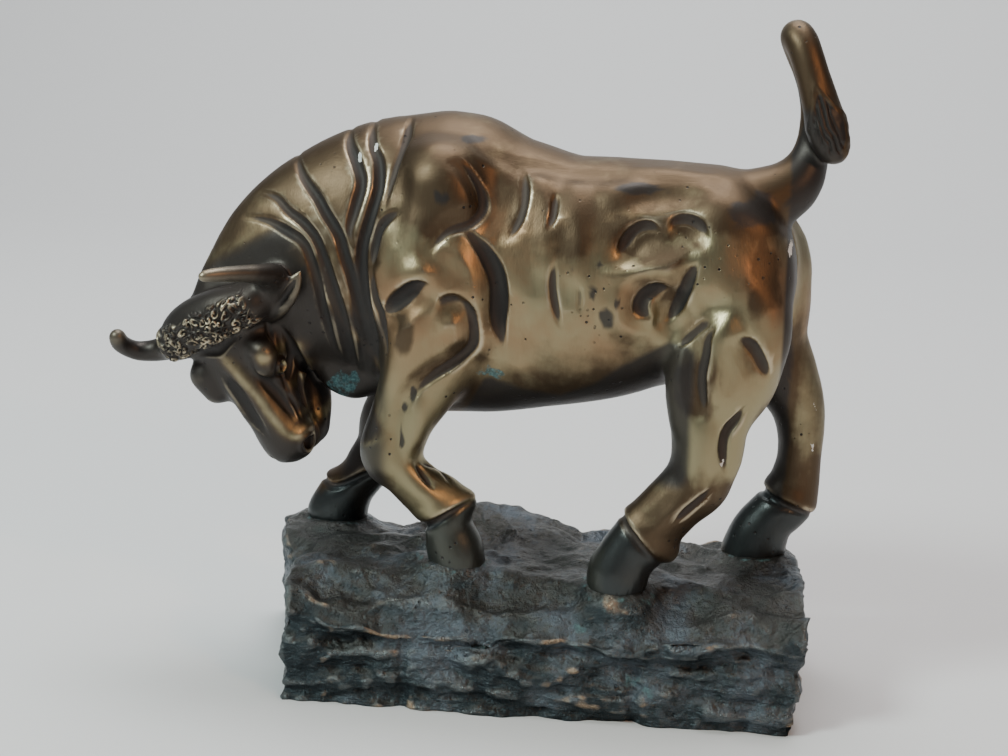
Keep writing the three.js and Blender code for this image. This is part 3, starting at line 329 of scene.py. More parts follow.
def rise(start, end, v):
    t = np.clip((v - start) / (end - start), 0, 1)
    return t * t * (3 - 2 * t)


# The head's own frame: to the far side, down the face, out of the forehead
HEAD_AT = np.array([-155.0, -18.0, 161.0])
HEAD_SIDE = unit([-0.82, 0.35, -0.455])
FACE_FALL = np.array([0.51, 0.06, -0.86])
HEAD_DOWN = unit(FACE_FALL - HEAD_SIDE * (FACE_FALL @ HEAD_SIDE))
HEAD_OUT = np.cross(HEAD_SIDE, HEAD_DOWN)


def head(rows):
    """Rows of a (to the far side), b (down the face), c (out of the forehead), then radii."""
    rows = np.asarray(rows, float)
    places = HEAD_AT + rows[:, :1] * HEAD_SIDE + rows[:, 1:2] * HEAD_DOWN + rows[:, 2:3] * HEAD_OUT
    return np.c_[places, rows[:, 3:]]


TUBES = [
    # barrel from rump to withers
    Tube("barrel", [
        (67, -3, 199, 42, 45, 36),
        (50, 0, 194, 47.5, 46, 39),
        (24, 3, 189, 52.5, 54, 41.5),
        (0, 6, 187, 54.5, 59, 43),
        (-27, 9, 189, 59.5, 67, 42),
        (-54, 11, 191, 66, 70, 40),
    ], 0),
    Tube("neck", [
        (-45, 11, 192, 64.5, 60, 38),
        (-72, 10, 194, 61, 58, 38),
        (-97, 8, 189, 54, 50, 33),
        (-116, 5, 180, 47, 40, 26),
        (-131, 2, 168, 38.5, 30, 19),
        (-141, -3, 158, 32, 24, 14),
    ], 6),
    Tube("brisket", [
        (-58, 11, 150, 28, 24, 26),
        (-76, 10, 152, 22, 18, 20),
    ], 10),
    Tube("dewlap", [
        (-104, 3, 160, 16, 16, 10),
        (-102, 3, 140, 10, 10, 8),
        (-94, 3, 134.5, 9, 9, 8),
        (-87, 4, 135.5, 8.5, 8.5, 8),
        (-78, 8, 137, 9.5, 9.5, 9),
    ], 6),
    # near fore leg
    Tube("near shoulder", [
        (-50, -15, 234, 20, 20, 14),
        (-54, -20, 210, 26, 26, 17),
        (-54, -21, 186, 27, 28, 18),
        (-53, -20, 162, 23, 23, 16),
        (-60, -19, 140, 18, 18, 13),
        (-67, -19, 124, 14.5, 14.5, 12),
        (-72, -18, 107, 14.5, 14, 12),
        (-66, -18, 98, 11, 11, 10.5),
        (-57, -18, 90, 11.5, 11.5, 10.5),
        (-49, -18, 84, 11, 13, 11.5),
        (-46, -18, 75, 10.5, 11, 11),
    ], 7),
    Tube("near fore dewclaws", [(-46, -18, 87, 5), (-37, -18, 86, 4.5)], 4),
    Tube("near fore hoof", [
        (-46, -18, 73, 10, 10.5, 11),
        (-42.5, -18, 64, 12.8, 12.8, 12.5),
        (-40.5, -18, 55, 12.2, 12.6, 12.6),
    ], 1.5),
    # far fore leg
    Tube("far shoulder", [
        (-52, 33, 228, 20, 20, 14),
        (-54, 37, 205, 26, 26, 16),
        (-54, 38, 182, 26, 26, 17),
        (-58, 39, 158, 21, 21, 15),
        (-70, 40, 136, 16, 16, 12.5),
        (-80, 41, 117, 13.5, 13.5, 12),
        (-85, 41, 106, 13, 13, 12),
        (-89, 41, 94, 10.5, 10.5, 10),
        (-93, 41, 84, 11.5, 12, 11),
        (-97, 41, 77, 10.5, 11, 11),
    ], 7),
    Tube("far fore hoof", [
        (-97, 41, 77, 10.5, 10.5, 11),
        (-104, 41, 67, 14, 12, 12.5),
        (-107, 41, 57, 17, 13, 13),
    ], 1.5),
    # near hind leg
    Tube("near thigh", [
        (66, -14, 222, 17, 17, 12),
        (74, -20, 203, 24, 24, 16),
        (75, -23, 184, 25, 26, 18),
        (74, -25, 166, 23.5, 26, 18),
        (72, -26, 150, 22.5, 24, 16.5),
        (68.5, -27, 134, 17, 16.5, 14),
        (67.5, -28, 118, 14.5, 14.5, 12.5),
        (64, -29, 106, 13.5, 16, 12),
        (56.5, -30, 96, 13.5, 13.5, 11),
        (49, -30, 87, 13.5, 13.5, 11),
        (42, -30, 78, 13, 14.5, 11.5),
        (36, -30, 70, 12.5, 12, 11.5),
    ], 7),
    Tube("near hind dewclaws", [(47, -30, 77, 6), (54.5, -30, 73, 4.6)], 4),
    Tube("near hind hoof", [
        (37, -30, 70, 12, 11.5, 11.5),
        (33, -30, 62, 14, 13.5, 13),
        (32, -30, 53, 13, 13, 13),
    ], 1.5),
    # far hind leg
    Tube("far thigh", [
        (76, 10, 218, 17, 17, 12),
        (85, 15, 200, 24, 24, 15),
        (88, 19, 180, 24, 24, 17),
        (90, 23, 160, 22, 22, 16),
        (100, 26, 143, 15, 18, 14.5),
        (108, 27, 130, 12, 14, 12.5),
        (111.5, 27, 117, 10.5, 11.5, 11),
        (112, 27, 104, 10, 10.5, 10),
        (111, 27, 94, 11, 11.5, 10.5),
        (109, 27, 84, 12.5, 13, 11.5),
        (104, 27, 77, 11.5, 13, 11.5),
    ], 7),
    Tube("far hind hoof", [
        (102, 27, 75, 12, 10.5, 11.5),
        (97, 27, 65, 14.5, 13, 12.5),
        (94, 27, 55, 15.5, 14.5, 13.5),
    ], 1.5),
    # tail
    Tube("tail", [
        (66, -5, 221.5, 16),
        (83, -6, 224.5, 15.3),
        (97.5, -6, 232, 12.3),
        (104, -5, 242, 9),
        (105.5, -4, 253, 6.4),
        (104.5, -3, 266, 4.8),
        (101, -2, 279, 4.6),
        (97, -3, 290, 5.6),
        (96, -6, 296.2, 7.1),
        (99, -11, 292, 7.2),
        (103.5, -13.5, 280, 7.2),
        (107.5, -14, 269, 7.9),
        (111, -15, 258, 8.8),
        (114, -15, 250.5, 6.8),
    ], 3),
    # head
    Tube("skull", head([
        (0, -6, -10, 8, 12, 20),
        (0, 8, -12, 17, 18, 23),
        (0, 22, -13, 18, 20, 22),
        (0, 36, -12, 17, 20, 17.5),
        (0, 50, -9, 15, 17, 14),
        (0, 60, -6, 12, 13, 13.5),
        (0, 66, -5, 10, 11, 12.5),
    ]), 4, HEAD_SIDE, cap=0.8),
    Tube("poll roll", head([
        (-24, -1, -2, 9, 9, 9),
        (-8, -3, 0, 11.5, 11.5, 11.5),
        (10, -3, 0, 11.5, 11.5, 11.5),
        (23, 0, -1, 9, 9, 9),
    ]), 2.5, HEAD_OUT),
    Tube("near horn", head([
        (-22, -1, -6, 9),
        (-33, -3, -8, 8),
        (-40, -7, -4, 6.4),
        (-42, -11, 4, 4.8),
        (-40, -16, 13, 4),
        (-36, -21, 22, 3.5),
        (-33, -23.5, 27, 3),
    ]), 3, HEAD_DOWN),
    Tube("far horn", head([
        (20, 0, -3, 8),
        (31, 1, -3, 6),
        (39, -1, -1, 5.2),
        (44, -5, 3, 4.6),
        (44.5, -11, 8, 4.4),
        (41.5, -15, 11, 4.2),
    ]), 2.5, HEAD_DOWN),
    Tube("near brow", head([(-16, 20, -2, 7), (-15, 27, 0, 5.5)]), 3, HEAD_SIDE),
    Tube("far brow", head([(18, 20, -1, 8), (18, 28, -2, 7)]), 4, HEAD_SIDE),
    Tube("jaw", head([
        (-2, 24, -31, 13, 14, 15),
        (-3, 40, -33, 13, 13, 13),
        (-3, 54, -29, 12, 11, 11.5),
        (-2, 66, -21, 9, 8, 9.5),
    ]), 3, HEAD_SIDE),
    Tube("near ear", head([
        (-26, 8, -8, 3.5, 3.5, 4),
        (-37, 6, -6, 2.6, 2.6, 4.6),
        (-46, 1, -7, 2.2, 2.2, 4.6),
        (-54, -5, -10, 1.2, 1.2, 1.6),
    ]), 2, HEAD_DOWN),
    Tube("far ear", head([
        (22, 6, -10, 3.5, 3.5, 4),
        (32, 6, -14, 2.8, 2.8, 6),
        (40, 2, -20, 2.4, 2.4, 4.5),
        (46, -3, -25, 1.2, 1.2, 1.6),
    ]), 2, HEAD_DOWN),
]

# Folds of the neck seen from the side: places (x, z), radius and depth
NECK_FOLDS = {
    "a": ([(-142, 209), (-130, 209), (-119, 205), (-112, 201), (-108, 193), (-105, 183),
           (-103, 171), (-101, 162), (-99, 150)], 2.3, 2),
    "b": ([(-136, 220), (-127, 219), (-120, 214), (-113, 210), (-107, 204), (-103, 196),
           (-98, 182), (-94, 167), (-92, 152), (-91, 140)], 2.4, 2.3),
    "c": ([(-121, 237), (-115, 229), (-107, 221), (-102, 214), (-96, 206), (-93, 197),
           (-89, 185), (-86, 170), (-84, 156), (-85, 140)], 2.6, 2.5),
    "d": ([(-97, 250), (-95, 244), (-90, 236), (-87, 228), (-89, 218), (-91, 208), (-89, 201)], 2.6, 2.4),
    "e": ([(-86, 253), (-84, 244), (-80, 237), (-79, 227), (-81, 218), (-83, 210), (-85, 201),
           (-85, 189), (-83, 173), (-80, 158), (-80, 142)], 2.8, 2.9),
    "f": ([(-69, 255), (-69, 249), (-70, 243), (-72, 235), (-74, 226), (-75, 219)], 2.2, 1.7),
    "g": ([(-68, 218), (-73, 215), (-77, 210), (-79, 203), (-80, 193)], 2.6, 2.4),
    "h": ([(-80, 191), (-79, 180), (-76, 172), (-74, 161), (-73, 152)], 2.4, 2.2),
    "ridge ab": ([(-105, 193), (-101, 182), (-97, 169), (-95, 156), (-94, 143)], 1.5, 1.2),
    "ridge bc": ([(-90, 179), (-89, 169), (-87, 157), (-88, 143)], 1.4, 1.1),
    "ridge ce": ([(-88, 194), (-86, 182), (-84, 169), (-82, 155), (-83, 140)], 1.4, 1.2),
}

# Folds round the shoulder and upper arm
SHOULDER_FOLDS = {
    "blade": ([(-44, 241), (-40, 238), (-36, 233), (-33, 227), (-32, 221), (-34, 217),
           (-38, 214), (-45, 212), (-49, 209), (-52, 205), (-53, 201), (-51, 198)], 2.8, 2.4),
    "triceps": ([(-42, 212), (-37, 210), (-32, 205), (-28, 199), (-25, 192), (-24, 182),
           (-24, 171), (-22, 159)], 4.2, 3.6),
    "tear": ([(-74, 173), (-69, 178), (-63, 183), (-58, 187), (-54, 187)], 4.4, 3.8),
    "hook": ([(-52, 172), (-49, 177), (-46, 180), (-42, 181), (-38, 179), (-35, 174), (-34, 167),
           (-35, 161), (-39, 156), (-44, 152), (-50, 148), (-56, 143), (-61, 137), (-63, 131)], 2.9, 2.7),
    "hook mouth": ([(-49, 179), (-44, 181), (-40, 180)], 4, 2.6),
}

# Cuts over the ribs, loin, flank, thigh and leg
FLANK_FOLDS = {
    "cut1": ([(-17, 236), (-16, 229), (-16, 222), (-18, 215), (-22, 207)], 3.2, 2.2),
    "cut2": ([(-2, 228), (-2, 220), (-4, 213)], 2, 1.5),
    "cut3": ([(0, 201), (-1, 192), (0, 184), (3, 172)], 2.2, 1.6),
    "cut4": ([(10, 192), (11, 186), (11, 179)], 1.8, 0.9),
    "loin front": ([(27, 203), (29, 208), (32, 213), (36, 216), (40, 216), (43, 213)], 3.8, 2.6),
    "loin back": ([(48, 215), (50, 219), (54, 220), (59, 218), (63, 213)], 3.8, 2.6),
    "flank wedge": ([(59.5, 204), (57, 198), (54, 190), (51, 182), (48, 175)], 3.4, 3.2),
    "flank bowl": ([(50, 190), (43, 190), (38, 187), (37, 182), (41, 178)], 4.6, 3.4),
    "hip branch": ([(52, 166), (56, 170), (62, 176), (68, 181)], 3.4, 2.6),
    "spindle": ([(69, 178), (65, 172), (64, 164), (63, 156), (64, 147), (66, 138)], 3.2, 2.9),
    "lens": ([(78, 173), (84, 169), (88, 163), (92, 155)], 3.8, 2.6),
    "gaskin": ([(84, 143), (80, 137), (76, 131), (75, 123), (77, 112)], 2.6, 2),
    "tendon": ([(72, 106), (66, 100), (60, 94), (56, 89)], 2.4, 1.6),
    "knee fold": ([(-60, 106), (-56, 100), (-51, 94)], 2.2, 1.6),
    "knee fold back": ([(-59, 105), (-51, 100), (-44, 94)], 1.8, 1.2),
}

# Folds given in full (x, y, z)
REAR_FOLDS = {
    "cleft": ([(104, -6, 225), (108, -5, 205), (108, -4, 185), (106, -3, 165), (100, -2, 152)], 4.2, 4.4),
}

# Grooves round the legs where they meet the hooves: middle, radius, tilt, width and depth
CUFFS = {
    "near fore": ((-45, -18, 80.5), 15, 29, 2.4, 1.8),
    "near hind": ((37, -30, 81), 17, -41, 2.4, 1.6),
    "far fore": ((-98, 41, 78), 14, 25, 2.4, 1.6),
    "far hind": ((109, 27, 81), 14, -24, 2.4, 1.8),
}

# Wide soft hollows between the muscles
HOLLOWS = {
    "loin sink": ([(24, 200), (33, 205), (43, 208), (53, 209), (60, 208)], 12, 3.4),
    "loin dip": ([(29, 206), (34, 211), (40, 212), (48, 212), (55, 215), (61, 212)], 6, 1.6),
    "loin soft": ([(32, 227), (43, 229), (57, 230)], 9, 1.3),
    "flank bowl": ([(42, 185), (47, 184), (50, 180), (48, 172)], 8, 4.4),
    "blade valley": ([(-37, 240), (-29, 230), (-26, 221), (-31, 212)], 7, 1.8),
    "arm valley": ([(-49, 198), (-50, 190), (-52, 182)], 6, 1.4),
    "shoulder front": ([(-67, 233), (-68, 219), (-69, 206)], 6, 1.2),
    "thigh hollow": ([(62, 185), (66, 186), (71, 183)], 6, 2),
    "thigh rear": ([(72, 169), (75, 161), (75, 151)], 6, 1.2),
    "rib a": ([(-10, 225), (-10, 209), (-8, 188)], 6, 0.8),
    "rib b": ([(4, 215), (4, 200), (6, 184)], 6, 0.8),
    "back line": ([(-36, 244), (-19, 238), (3, 235), (38, 236), (67, 235)], 6, 0.9),
    "knee dish": ([(-65, 135), (-66, 123), (-67, 113)], 5, 1.2),
    "behind elbow": ([(-21, 182), (-18, 169), (-14, 155)], 8, 1.6),
    "shin": ([(53, 99), (46, 90)], 5, 0.8),
}

# Raised muscles: places (x, z), radius and height
MUSCLES = {
    "arm": ([(-40, 205), (-36, 198), (-33, 190), (-32, 181)], 8, 3.2),
    "blade": ([(-60, 234), (-51, 233), (-44, 228), (-41, 222)], 12, 3),
    "upper arm": ([(-46, 173), (-41, 170), (-39, 164)], 7, 2.2),
    "forearm": ([(-61, 173), (-63, 160), (-68, 145)], 9, 2.6),
    "forearm ridge": ([(-68, 147), (-72, 136), (-76, 122), (-77, 112)], 5, 1.4),
    "knee ridge": ([(-58, 132), (-59, 122), (-63, 112)], 4, 1.8),
    "knee cap": ([(-75, 116), (-77, 109), (-74, 102)], 5, 1.6),
    "shin ridge": ([(-66, 104), (-60, 97), (-53, 90)], 3.4, 1.4),
    "hind shin": ([(66, 104), (57, 96), (48, 87)], 4.4, 1.4),
    "thigh front": ([(55, 160), (54, 146), (55, 132)], 7, 2.2),
    "thigh middle": ([(73, 178), (72, 169), (70, 158), (70, 145)], 6, 1.8),
    "thigh rear": ([(83, 193), (91, 184), (95, 171), (90, 158)], 9, 2),
    "hip": ([(66, 225), (78, 223), (89, 217)], 10, 1.4),
    "loin": ([(21, 228), (38, 235), (59, 235)], 8, 1),
    "loin lip": ([(24, 197), (36, 199), (47, 203), (58, 207)], 4, 1.2),
    "hock": ([(82, 134), (81, 123), (80, 112)], 5, 2.2),
    "shank": ([(66, 134), (65, 121), (63, 110)], 6, 1.8),
    "rib": ([(-9, 232), (-8, 219), (-7, 200)], 6, 0.9),
    "rib 2": ([(6, 229), (6, 214), (6, 197)], 6, 0.8),
    "flank lip": ([(28, 187), (28, 179), (32, 172)], 6, 1.6),
    "tear lip": ([(-66, 189), (-59, 193), (-52, 192), (-49, 185)], 4, 1.4),
    "hook lip": ([(-44, 186), (-37, 185), (-32, 179), (-30, 168), (-32, 159)], 4, 1.6),
}

# Folds of the head, in the head's own frame
HEAD_FOLDS = {
    "under roll": ([(-24, 10, 4), (-10, 10, 8), (0, 11, 9), (10, 10, 8), (24, 10, 4)], 3.0, 1.6),
    "left valley": ([(5, 20, 6), (3, 32, 7), (2, 46, 7), (0, 56, 7)], 4.6, 1.7),
    "ridge valley": ([(-11, 26, 4), (-12, 34, 2), (-13, 42, 0), (-13, 50, -1), (-12, 56, -1)], 3.0, 1.6),
    "brow groove": ([(-24, 9, -4), (-24, 17, -5), (-21, 24, -4)], 1.5, 1.4),
    "eye hole": ([(-18, 29.5, -5), (-18, 31, -5.5)], 1.3, 1.8),
    "socket": ([(-26, 20, -12), (-22, 28, -13), (-18, 34, -10), (-15, 38, -6)], 2.4, 2.2),
    "eye line": ([(-17, 33, -5), (-15, 38, -5), (-14, 43, -5)], 1.0, 0.9),
    "nose fold": ([(-14, 43, -4), (-13, 50, -5), (-13, 57, -4)], 1.3, 1.2),
    "cheek fold": ([(-19, 38, -14), (-16, 48, -13), (-13, 56, -12)], 2.0, 1.7),
    "ear crease": ([(-34, 6, -3), (-42, 3, -3), (-49, -1, -6)], 1.5, 1.5),
    "jaw fold": ([(-24, 14, -20), (-22, 28, -24), (-18, 42, -24)], 2.4, 1.8),
    "nostril": ([(-12, 66.5, -6), (-11.5, 69, -5), (-10.5, 71, -4)], 3.0, 3.2),
    "far nostril": ([(9, 66, 4), (9.5, 69, 2), (9, 71, -1)], 2.2, 1.8),
    "mouth": ([(-12, 56, -14), (-11, 66, -12), (-5, 74, -10), (0, 76, -10), (6, 73, -11)], 1.6, 1.4),
}

# Raised lines of the head
HEAD_RIDGES = {
    "nose ridge": ([(-1, 13, 6), (-3, 22, 6), (-5, 31, 5), (-7, 41, 4), (-8, 50, 4), (-9, 58, 4),
           (-11, 63, 1)], 3.6, 2.2),
    "far ridge": ([(7, 22, 8), (8, 36, 7), (7, 50, 6)], 4.0, 1.2),
    "brow": ([(-17, 19, 3), (-20, 22, 2), (-20, 26, 2)], 4.6, 2.2),
    "eyeball": ([(-18, 29.5, -5), (-18, 31, -5.5)], 3.0, 1.6),
    "cheek": ([(-29, 20, -15), (-26, 30, -18), (-21, 38, -20), (-16, 43, -15)], 4.0, 3.2),
    "under eye": ([(-16, 38, -5), (-15, 45, -7), (-13, 52, -5)], 2.4, 1.1),
    "thin ridge": ([(-13, 47, -2), (-13, 52, -2), (-12, 57, -2)], 1.8, 0.9),
    "nostril rim": ([(-9, 62, 4), (-11, 61.5, 0), (-13, 61.5, -6), (-12.5, 64, -11)], 2.6, 1.9),
    "lip": ([(-13, 54, -23), (-12, 62, -21), (-10, 68, -17)], 3.0, 1.1),
    "chin": ([(-9, 62, -17), (-8, 68, -15), (0, 72, -14)], 4.0, 1.2),
}

# Lines of the near legs that miss the far legs
NEAR_ONLY = ("tendon", "knee fold", "knee fold back", "gaskin", "hock")


def on_flanks(body, lines, near_only=()):
    """Side-view lines (x, z) laid on the near flank and, a little shallower, on the far one."""
    laid = []
    for side in (-1, 1):
        kept = [line for name, line in lines.items() if side < 0 or name not in near_only]
        landed = body.land(np.concatenate([points for points, _, _ in kept]), side)
        ends = np.cumsum([len(points) for points, _, _ in kept])
        for (_, radius, depth), part in zip(kept, np.split(landed, ends[:-1])):
            laid.append((part, radius, depth * (1 if side < 0 else FAR_SHARE)))
    return laid


def scooped(lines):
    """Beside each fold, to its lower left, a wider and shallower one, so that it isn't an even groove."""
    made = {}
    for name, (points, radius, depth) in lines.items():
        if radius < SCOOP_FROM:
            continue
        points = np.asarray(points, float)
        onward = np.gradient(points, axis=0)
        side = np.stack([-onward[:, 1], onward[:, 0]], 1)
        side /= np.linalg.norm(side, axis=1, keepdims=True)
        side *= np.sign(side.mean(axis=0) @ (-0.8, -0.6))
        made[name] = (points + side * radius * 0.9, radius * 1.8, depth * 0.5)
    return made


def head_lines(lines):
    return [(head(points), radius, depth) for points, radius, depth in lines.values()]


def cuff_ring(middle, radius, tilt, width, depth, lift=0):
    """A loop round a leg, tilted in the side view, that meets itself at the back."""
    turn = np.linspace(-0.35, 2 * pi + 0.35, 16)
    lean = radians(tilt)
    out = np.stack([np.cos(turn) * cos(lean), np.sin(turn), np.cos(turn) * sin(lean)], 1)
    return middle + out * radius + lift * np.array([-sin(lean), 0, cos(lean)]), width, depth


def bull_body():
    """Three fields of the bull: its whole form, that with the wide dips, and that with all folds cut."""
    whole = Lattice(BULL_LOW, BULL_HIGH, COARSE_STEP)
    whole.join(TUBES)
    whole.join(surface_cords(whole, on_flanks(whole, MUSCLES, NEAR_ONLY), -1), 7)
    whole.join(surface_cords(whole, head_lines(HEAD_RIDGES), -1), 3)
    lips = [cuff_ring(*cuff[:3], *CUFF_LIP) for cuff in CUFFS.values()]
    whole.join(surface_cords(whole, lips, -1), 3)
    whole.cut(surface_cords(whole, on_flanks(whole, HOLLOWS), 1), 3.5)
    carved = whole.finer(FINE_TIMES)
    for folds, near_only in ((SHOULDER_FOLDS, ()), (FLANK_FOLDS, NEAR_ONLY)):
        carved.cut(surface_cords(whole, on_flanks(whole, scooped(folds), near_only), 1), 2.5)
    top = carved.low + carved.step * (carved.size - 1)
    dipped = Lattice(carved.low, top, carved.step, carved.values.copy())
    carved.cut(surface_cords(whole, on_flanks(whole, NECK_FOLDS), 1), 1.2)
    carved.cut(surface_cords(whole, on_flanks(whole, SHOULDER_FOLDS), 1), 0.8)
    carved.cut(surface_cords(whole, on_flanks(whole, FLANK_FOLDS, NEAR_ONLY), 1), 0.5)
    carved.cut(surface_cords(whole, list(REAR_FOLDS.values()), 1), 1.2)
    carved.cut(surface_cords(whole, [cuff_ring(*cuff) for cuff in CUFFS.values()], 1), 0.6)
    carved.cut(surface_cords(whole, head_lines(HEAD_FOLDS), 1), 0.6)
    heights = carved.low[2] + carved.step * np.arange(carved.size[2])
    np.maximum(carved.values, (SOLE_HEIGHT - heights).astype(np.float32), out=carved.values)
    return whole, dipped, carved


def deselect_all():
    if bpy.context.object and bpy.context.object.mode != "OBJECT":
        bpy.ops.object.mode_set(mode="OBJECT")
    bpy.ops.object.select_all(action="DESELECT")


def piece_of(name, points, faces):
    """A new mesh piece from points in millimetres."""
    mesh = bpy.data.meshes.new(name)
    mesh.vertices.add(len(points))
    mesh.vertices.foreach_set("co", (points * MM).ravel())
    mesh.loops.add(faces.size)
    mesh.loops.foreach_set("vertex_index", faces.ravel())
    mesh.polygons.add(len(faces))
    mesh.polygons.foreach_set("loop_start", np.arange(0, faces.size, faces.shape[1]))
    mesh.update(calc_edges=True)
    mesh.validate()
    piece = bpy.data.objects.new(name, mesh)
    bpy.context.collection.objects.link(piece)
    deselect_all()
    piece.select_set(True)
    bpy.context.view_layer.objects.active = piece
    return piece


def points_of(piece):
    """A piece's points in millimetres."""
    out = np.empty(len(piece.data.vertices) * 3, np.float32)
    piece.data.vertices.foreach_get("co", out)
    return out.reshape(-1, 3).astype(float) / MM


def move_points(piece, points):
    piece.data.vertices.foreach_set("co", (points * MM).astype(np.float32).ravel())
    piece.data.update()


def middles_of(piece):
    out = np.empty(len(piece.data.polygons) * 3, np.float32)
    piece.data.polygons.foreach_get("center", out)
    return out.reshape(-1, 3).astype(float) / MM


def normals_of(piece):
    out = np.empty(len(piece.data.vertices) * 3, np.float32)
    piece.data.vertex_normals.foreach_get("vector", out)
    return out.reshape(-1, 3).astype(float)


def keep_value(piece, name, values):
    """Stores a number on each point for the materials to read."""
    layer = piece.data.attributes.new(name, "FLOAT", "POINT")
    layer.data.foreach_set("value", np.asarray(values, np.float32))


def thin_to(piece, triangles):
    """Fewer, larger triangles where the form is calm."""
    piece.data.calc_loop_triangles()
    modifier = piece.modifiers.new("thin", "DECIMATE")
    modifier.ratio = min(1.0, triangles / len(piece.data.loop_triangles))
    bpy.ops.object.modifier_apply(modifier=modifier.name)


def divide_faces(piece, chosen):
    """Splits the chosen faces into smaller ones."""
    bpy.ops.object.mode_set(mode="EDIT")
    bpy.ops.mesh.select_mode(type="FACE")
    bpy.ops.mesh.select_all(action="DESELECT")
    bpy.ops.object.mode_set(mode="OBJECT")
    piece.data.polygons.foreach_set("select", np.asarray(chosen, bool))
    bpy.ops.object.mode_set(mode="EDIT")
    bpy.ops.mesh.subdivide(number_cuts=1)
    bpy.ops.object.mode_set(mode="OBJECT")


def head_place(points):
    """Places in the head's own frame: to the far side, down the face, out of the forehead."""
    return (points - HEAD_AT) @ np.stack([HEAD_SIDE, HEAD_DOWN, HEAD_OUT], 1)


def settle(points, lattice, rounds=2):
    """Points brought onto the surface of a field."""
    for _ in range(rounds):
        points = points - lattice.normal(points, 0.7) * np.clip(lattice.at(points), -0.5, 0.5)[:, None]
    return points


def curls(places, spacing, seed):
    """Small hooked curls in a flat pattern: heights from 0 to 1 for places (u, v)."""
    cell = np.floor(places / spacing).astype(np.int64)
    best = np.full(len(places), 1e9)
    height = np.zeros(len(places))
    for du in (-1, 0, 1):
        for dv in (-1, 0, 1):
            i, j = cell[:, 0] + du, cell[:, 1] + dv
            shift = np.stack([corner_value(i, j, i * 0 + seed), corner_value(i, j, i * 0 + seed + 1)], 1)
            middle = (np.stack([i, j], 1) + 0.2 + 0.6 * shift) * spacing
            out = places - middle
            far = np.linalg.norm(out, axis=1)
            hand = np.where(corner_value(i, j, i * 0 + seed + 2) > 0.5, 1, -1)
            turn = np.arctan2(out[:, 1], out[:, 0]) * hand + 6.28 * shift[:, 0]
            wave = 0.5 + 0.5 * np.cos(turn - 2 * pi * far / (0.62 * spacing))
            nearer = far < best
            best = np.where(nearer, far, best)
            height = np.where(nearer, wave * (1 - rise(0.45, 0.72, far / spacing)) + 0.1, height)
    return height


def strands(along_strand, across, width, seed):
    """Locks of hair: heights from 0 to 1, running along one direction and wandering a little."""
    wander = 1.1 * noise(along_strand / 9, across / 6, seed)
    wander = wander + 0.5 * noise(along_strand / 4, across / 3, seed + 7)
    lock = np.abs(np.sin(pi * (across / width + wander * 0.5)))
    return lock ** 0.7 * (0.75 + 0.25 * noise(along_strand / 3, across / 2, seed + 3))


def curl_band(a, b, c):
    """Where the tight curls lie: the lower front of the roll between the horns, ragged above."""
    top = -8.5 + 1.6 * noise(a / 4, 3, 8)
    edges = rise(top - 1.2, top + 1.2, b) * rise(9, 6, b)
    return edges * rise(29, 25, np.abs(a)) * rise(-12, -4, c)


def tuft_panel(points):
    """The gouged leaf on the tail's tuft: its share, and places down and across it."""
    x, y, z = points.T
    down = (x - TUFT_MIDDLE[0]) * TUFT_LEAN[0] + (z - TUFT_MIDDLE[1]) * TUFT_LEAN[1]
    over = (z - TUFT_MIDDLE[1]) * TUFT_LEAN[0] - (x - TUFT_MIDDLE[0]) * TUFT_LEAN[1]
    narrow = 1 - 0.55 * rise(2, -13, down)
    far = np.hypot(down / 13, over / (6.6 * narrow))
    return rise(1.12, 0.88, far) * rise(-6, -10, y), far, down, over


def far_from(places, spot):
    """Distances from the place on the surface that is nearest to a spot."""
    nearest = places[np.argmin(np.linalg.norm(places - spot, axis=1))]
    return np.linalg.norm(places - nearest, axis=1)


def bull_relief(points):
    """How far each point of the bull is raised by hair, the eye and nostril rims, hoof lines and the hammered
    skin.
    """
    a, b, c = head_place(points).T
    face = np.stack([a, b, c], 1)
    eye = far_from(face, EYE)
    height = 0.9 * np.exp(-((eye - 2.7) / 0.8) ** 2) - 1.0 * np.exp(-((eye / 1.1) ** 2))
    height = height - 0.7 * np.exp(-((eye - 4.6) / 0.8) ** 2)
    nostril = far_from(face, NOSTRIL)
    height = height - 2.6 * np.exp(-((nostril / 3.0) ** 4)) + 0.9 * np.exp(-((nostril - 4.4) / 1.0) ** 2)
    hair = curl_band(a, b, c)
    wander = np.stack([a + 1.6 * noise(a / 5, b / 5, 3), b - c * 0.5 + 1.6 * noise(a / 5, b / 5, 6)], 1)
    curl = curls(wander, 4.2, 11)
    height = height + hair * (curl * 1.5 - 0.3)
    x, y, z = points.T
    tuft, far, down, over = tuft_panel(points)
    lock = strands(down, over, 3.1, 21)
    height = height + tuft * (lock * 1.4 - 1.2)
    rim = np.exp(-((far - 1.28) / 0.16) ** 2) * rise(-6, -10, y)
    height = height + rim * (0.35 + 0.3 * noise(x / 3, y / 3, z / 3))
    hoof = rise(71, 68, z)
    rings = 0.10 * np.sin(z * 2.2 + 0.8 * noise(x / 4, y / 4, 2)) * rise(66, 62, z)
    height = height + hoof * rings
    skin = 0.10 * noise(x / 5.5, y / 5.5, z / 5.5) + 0.05 * noise(x / 2.3, y / 2.3, z / 2.3)
    height = height + skin * (1 - hair) * (1 - tuft)
    return height, hair, curl


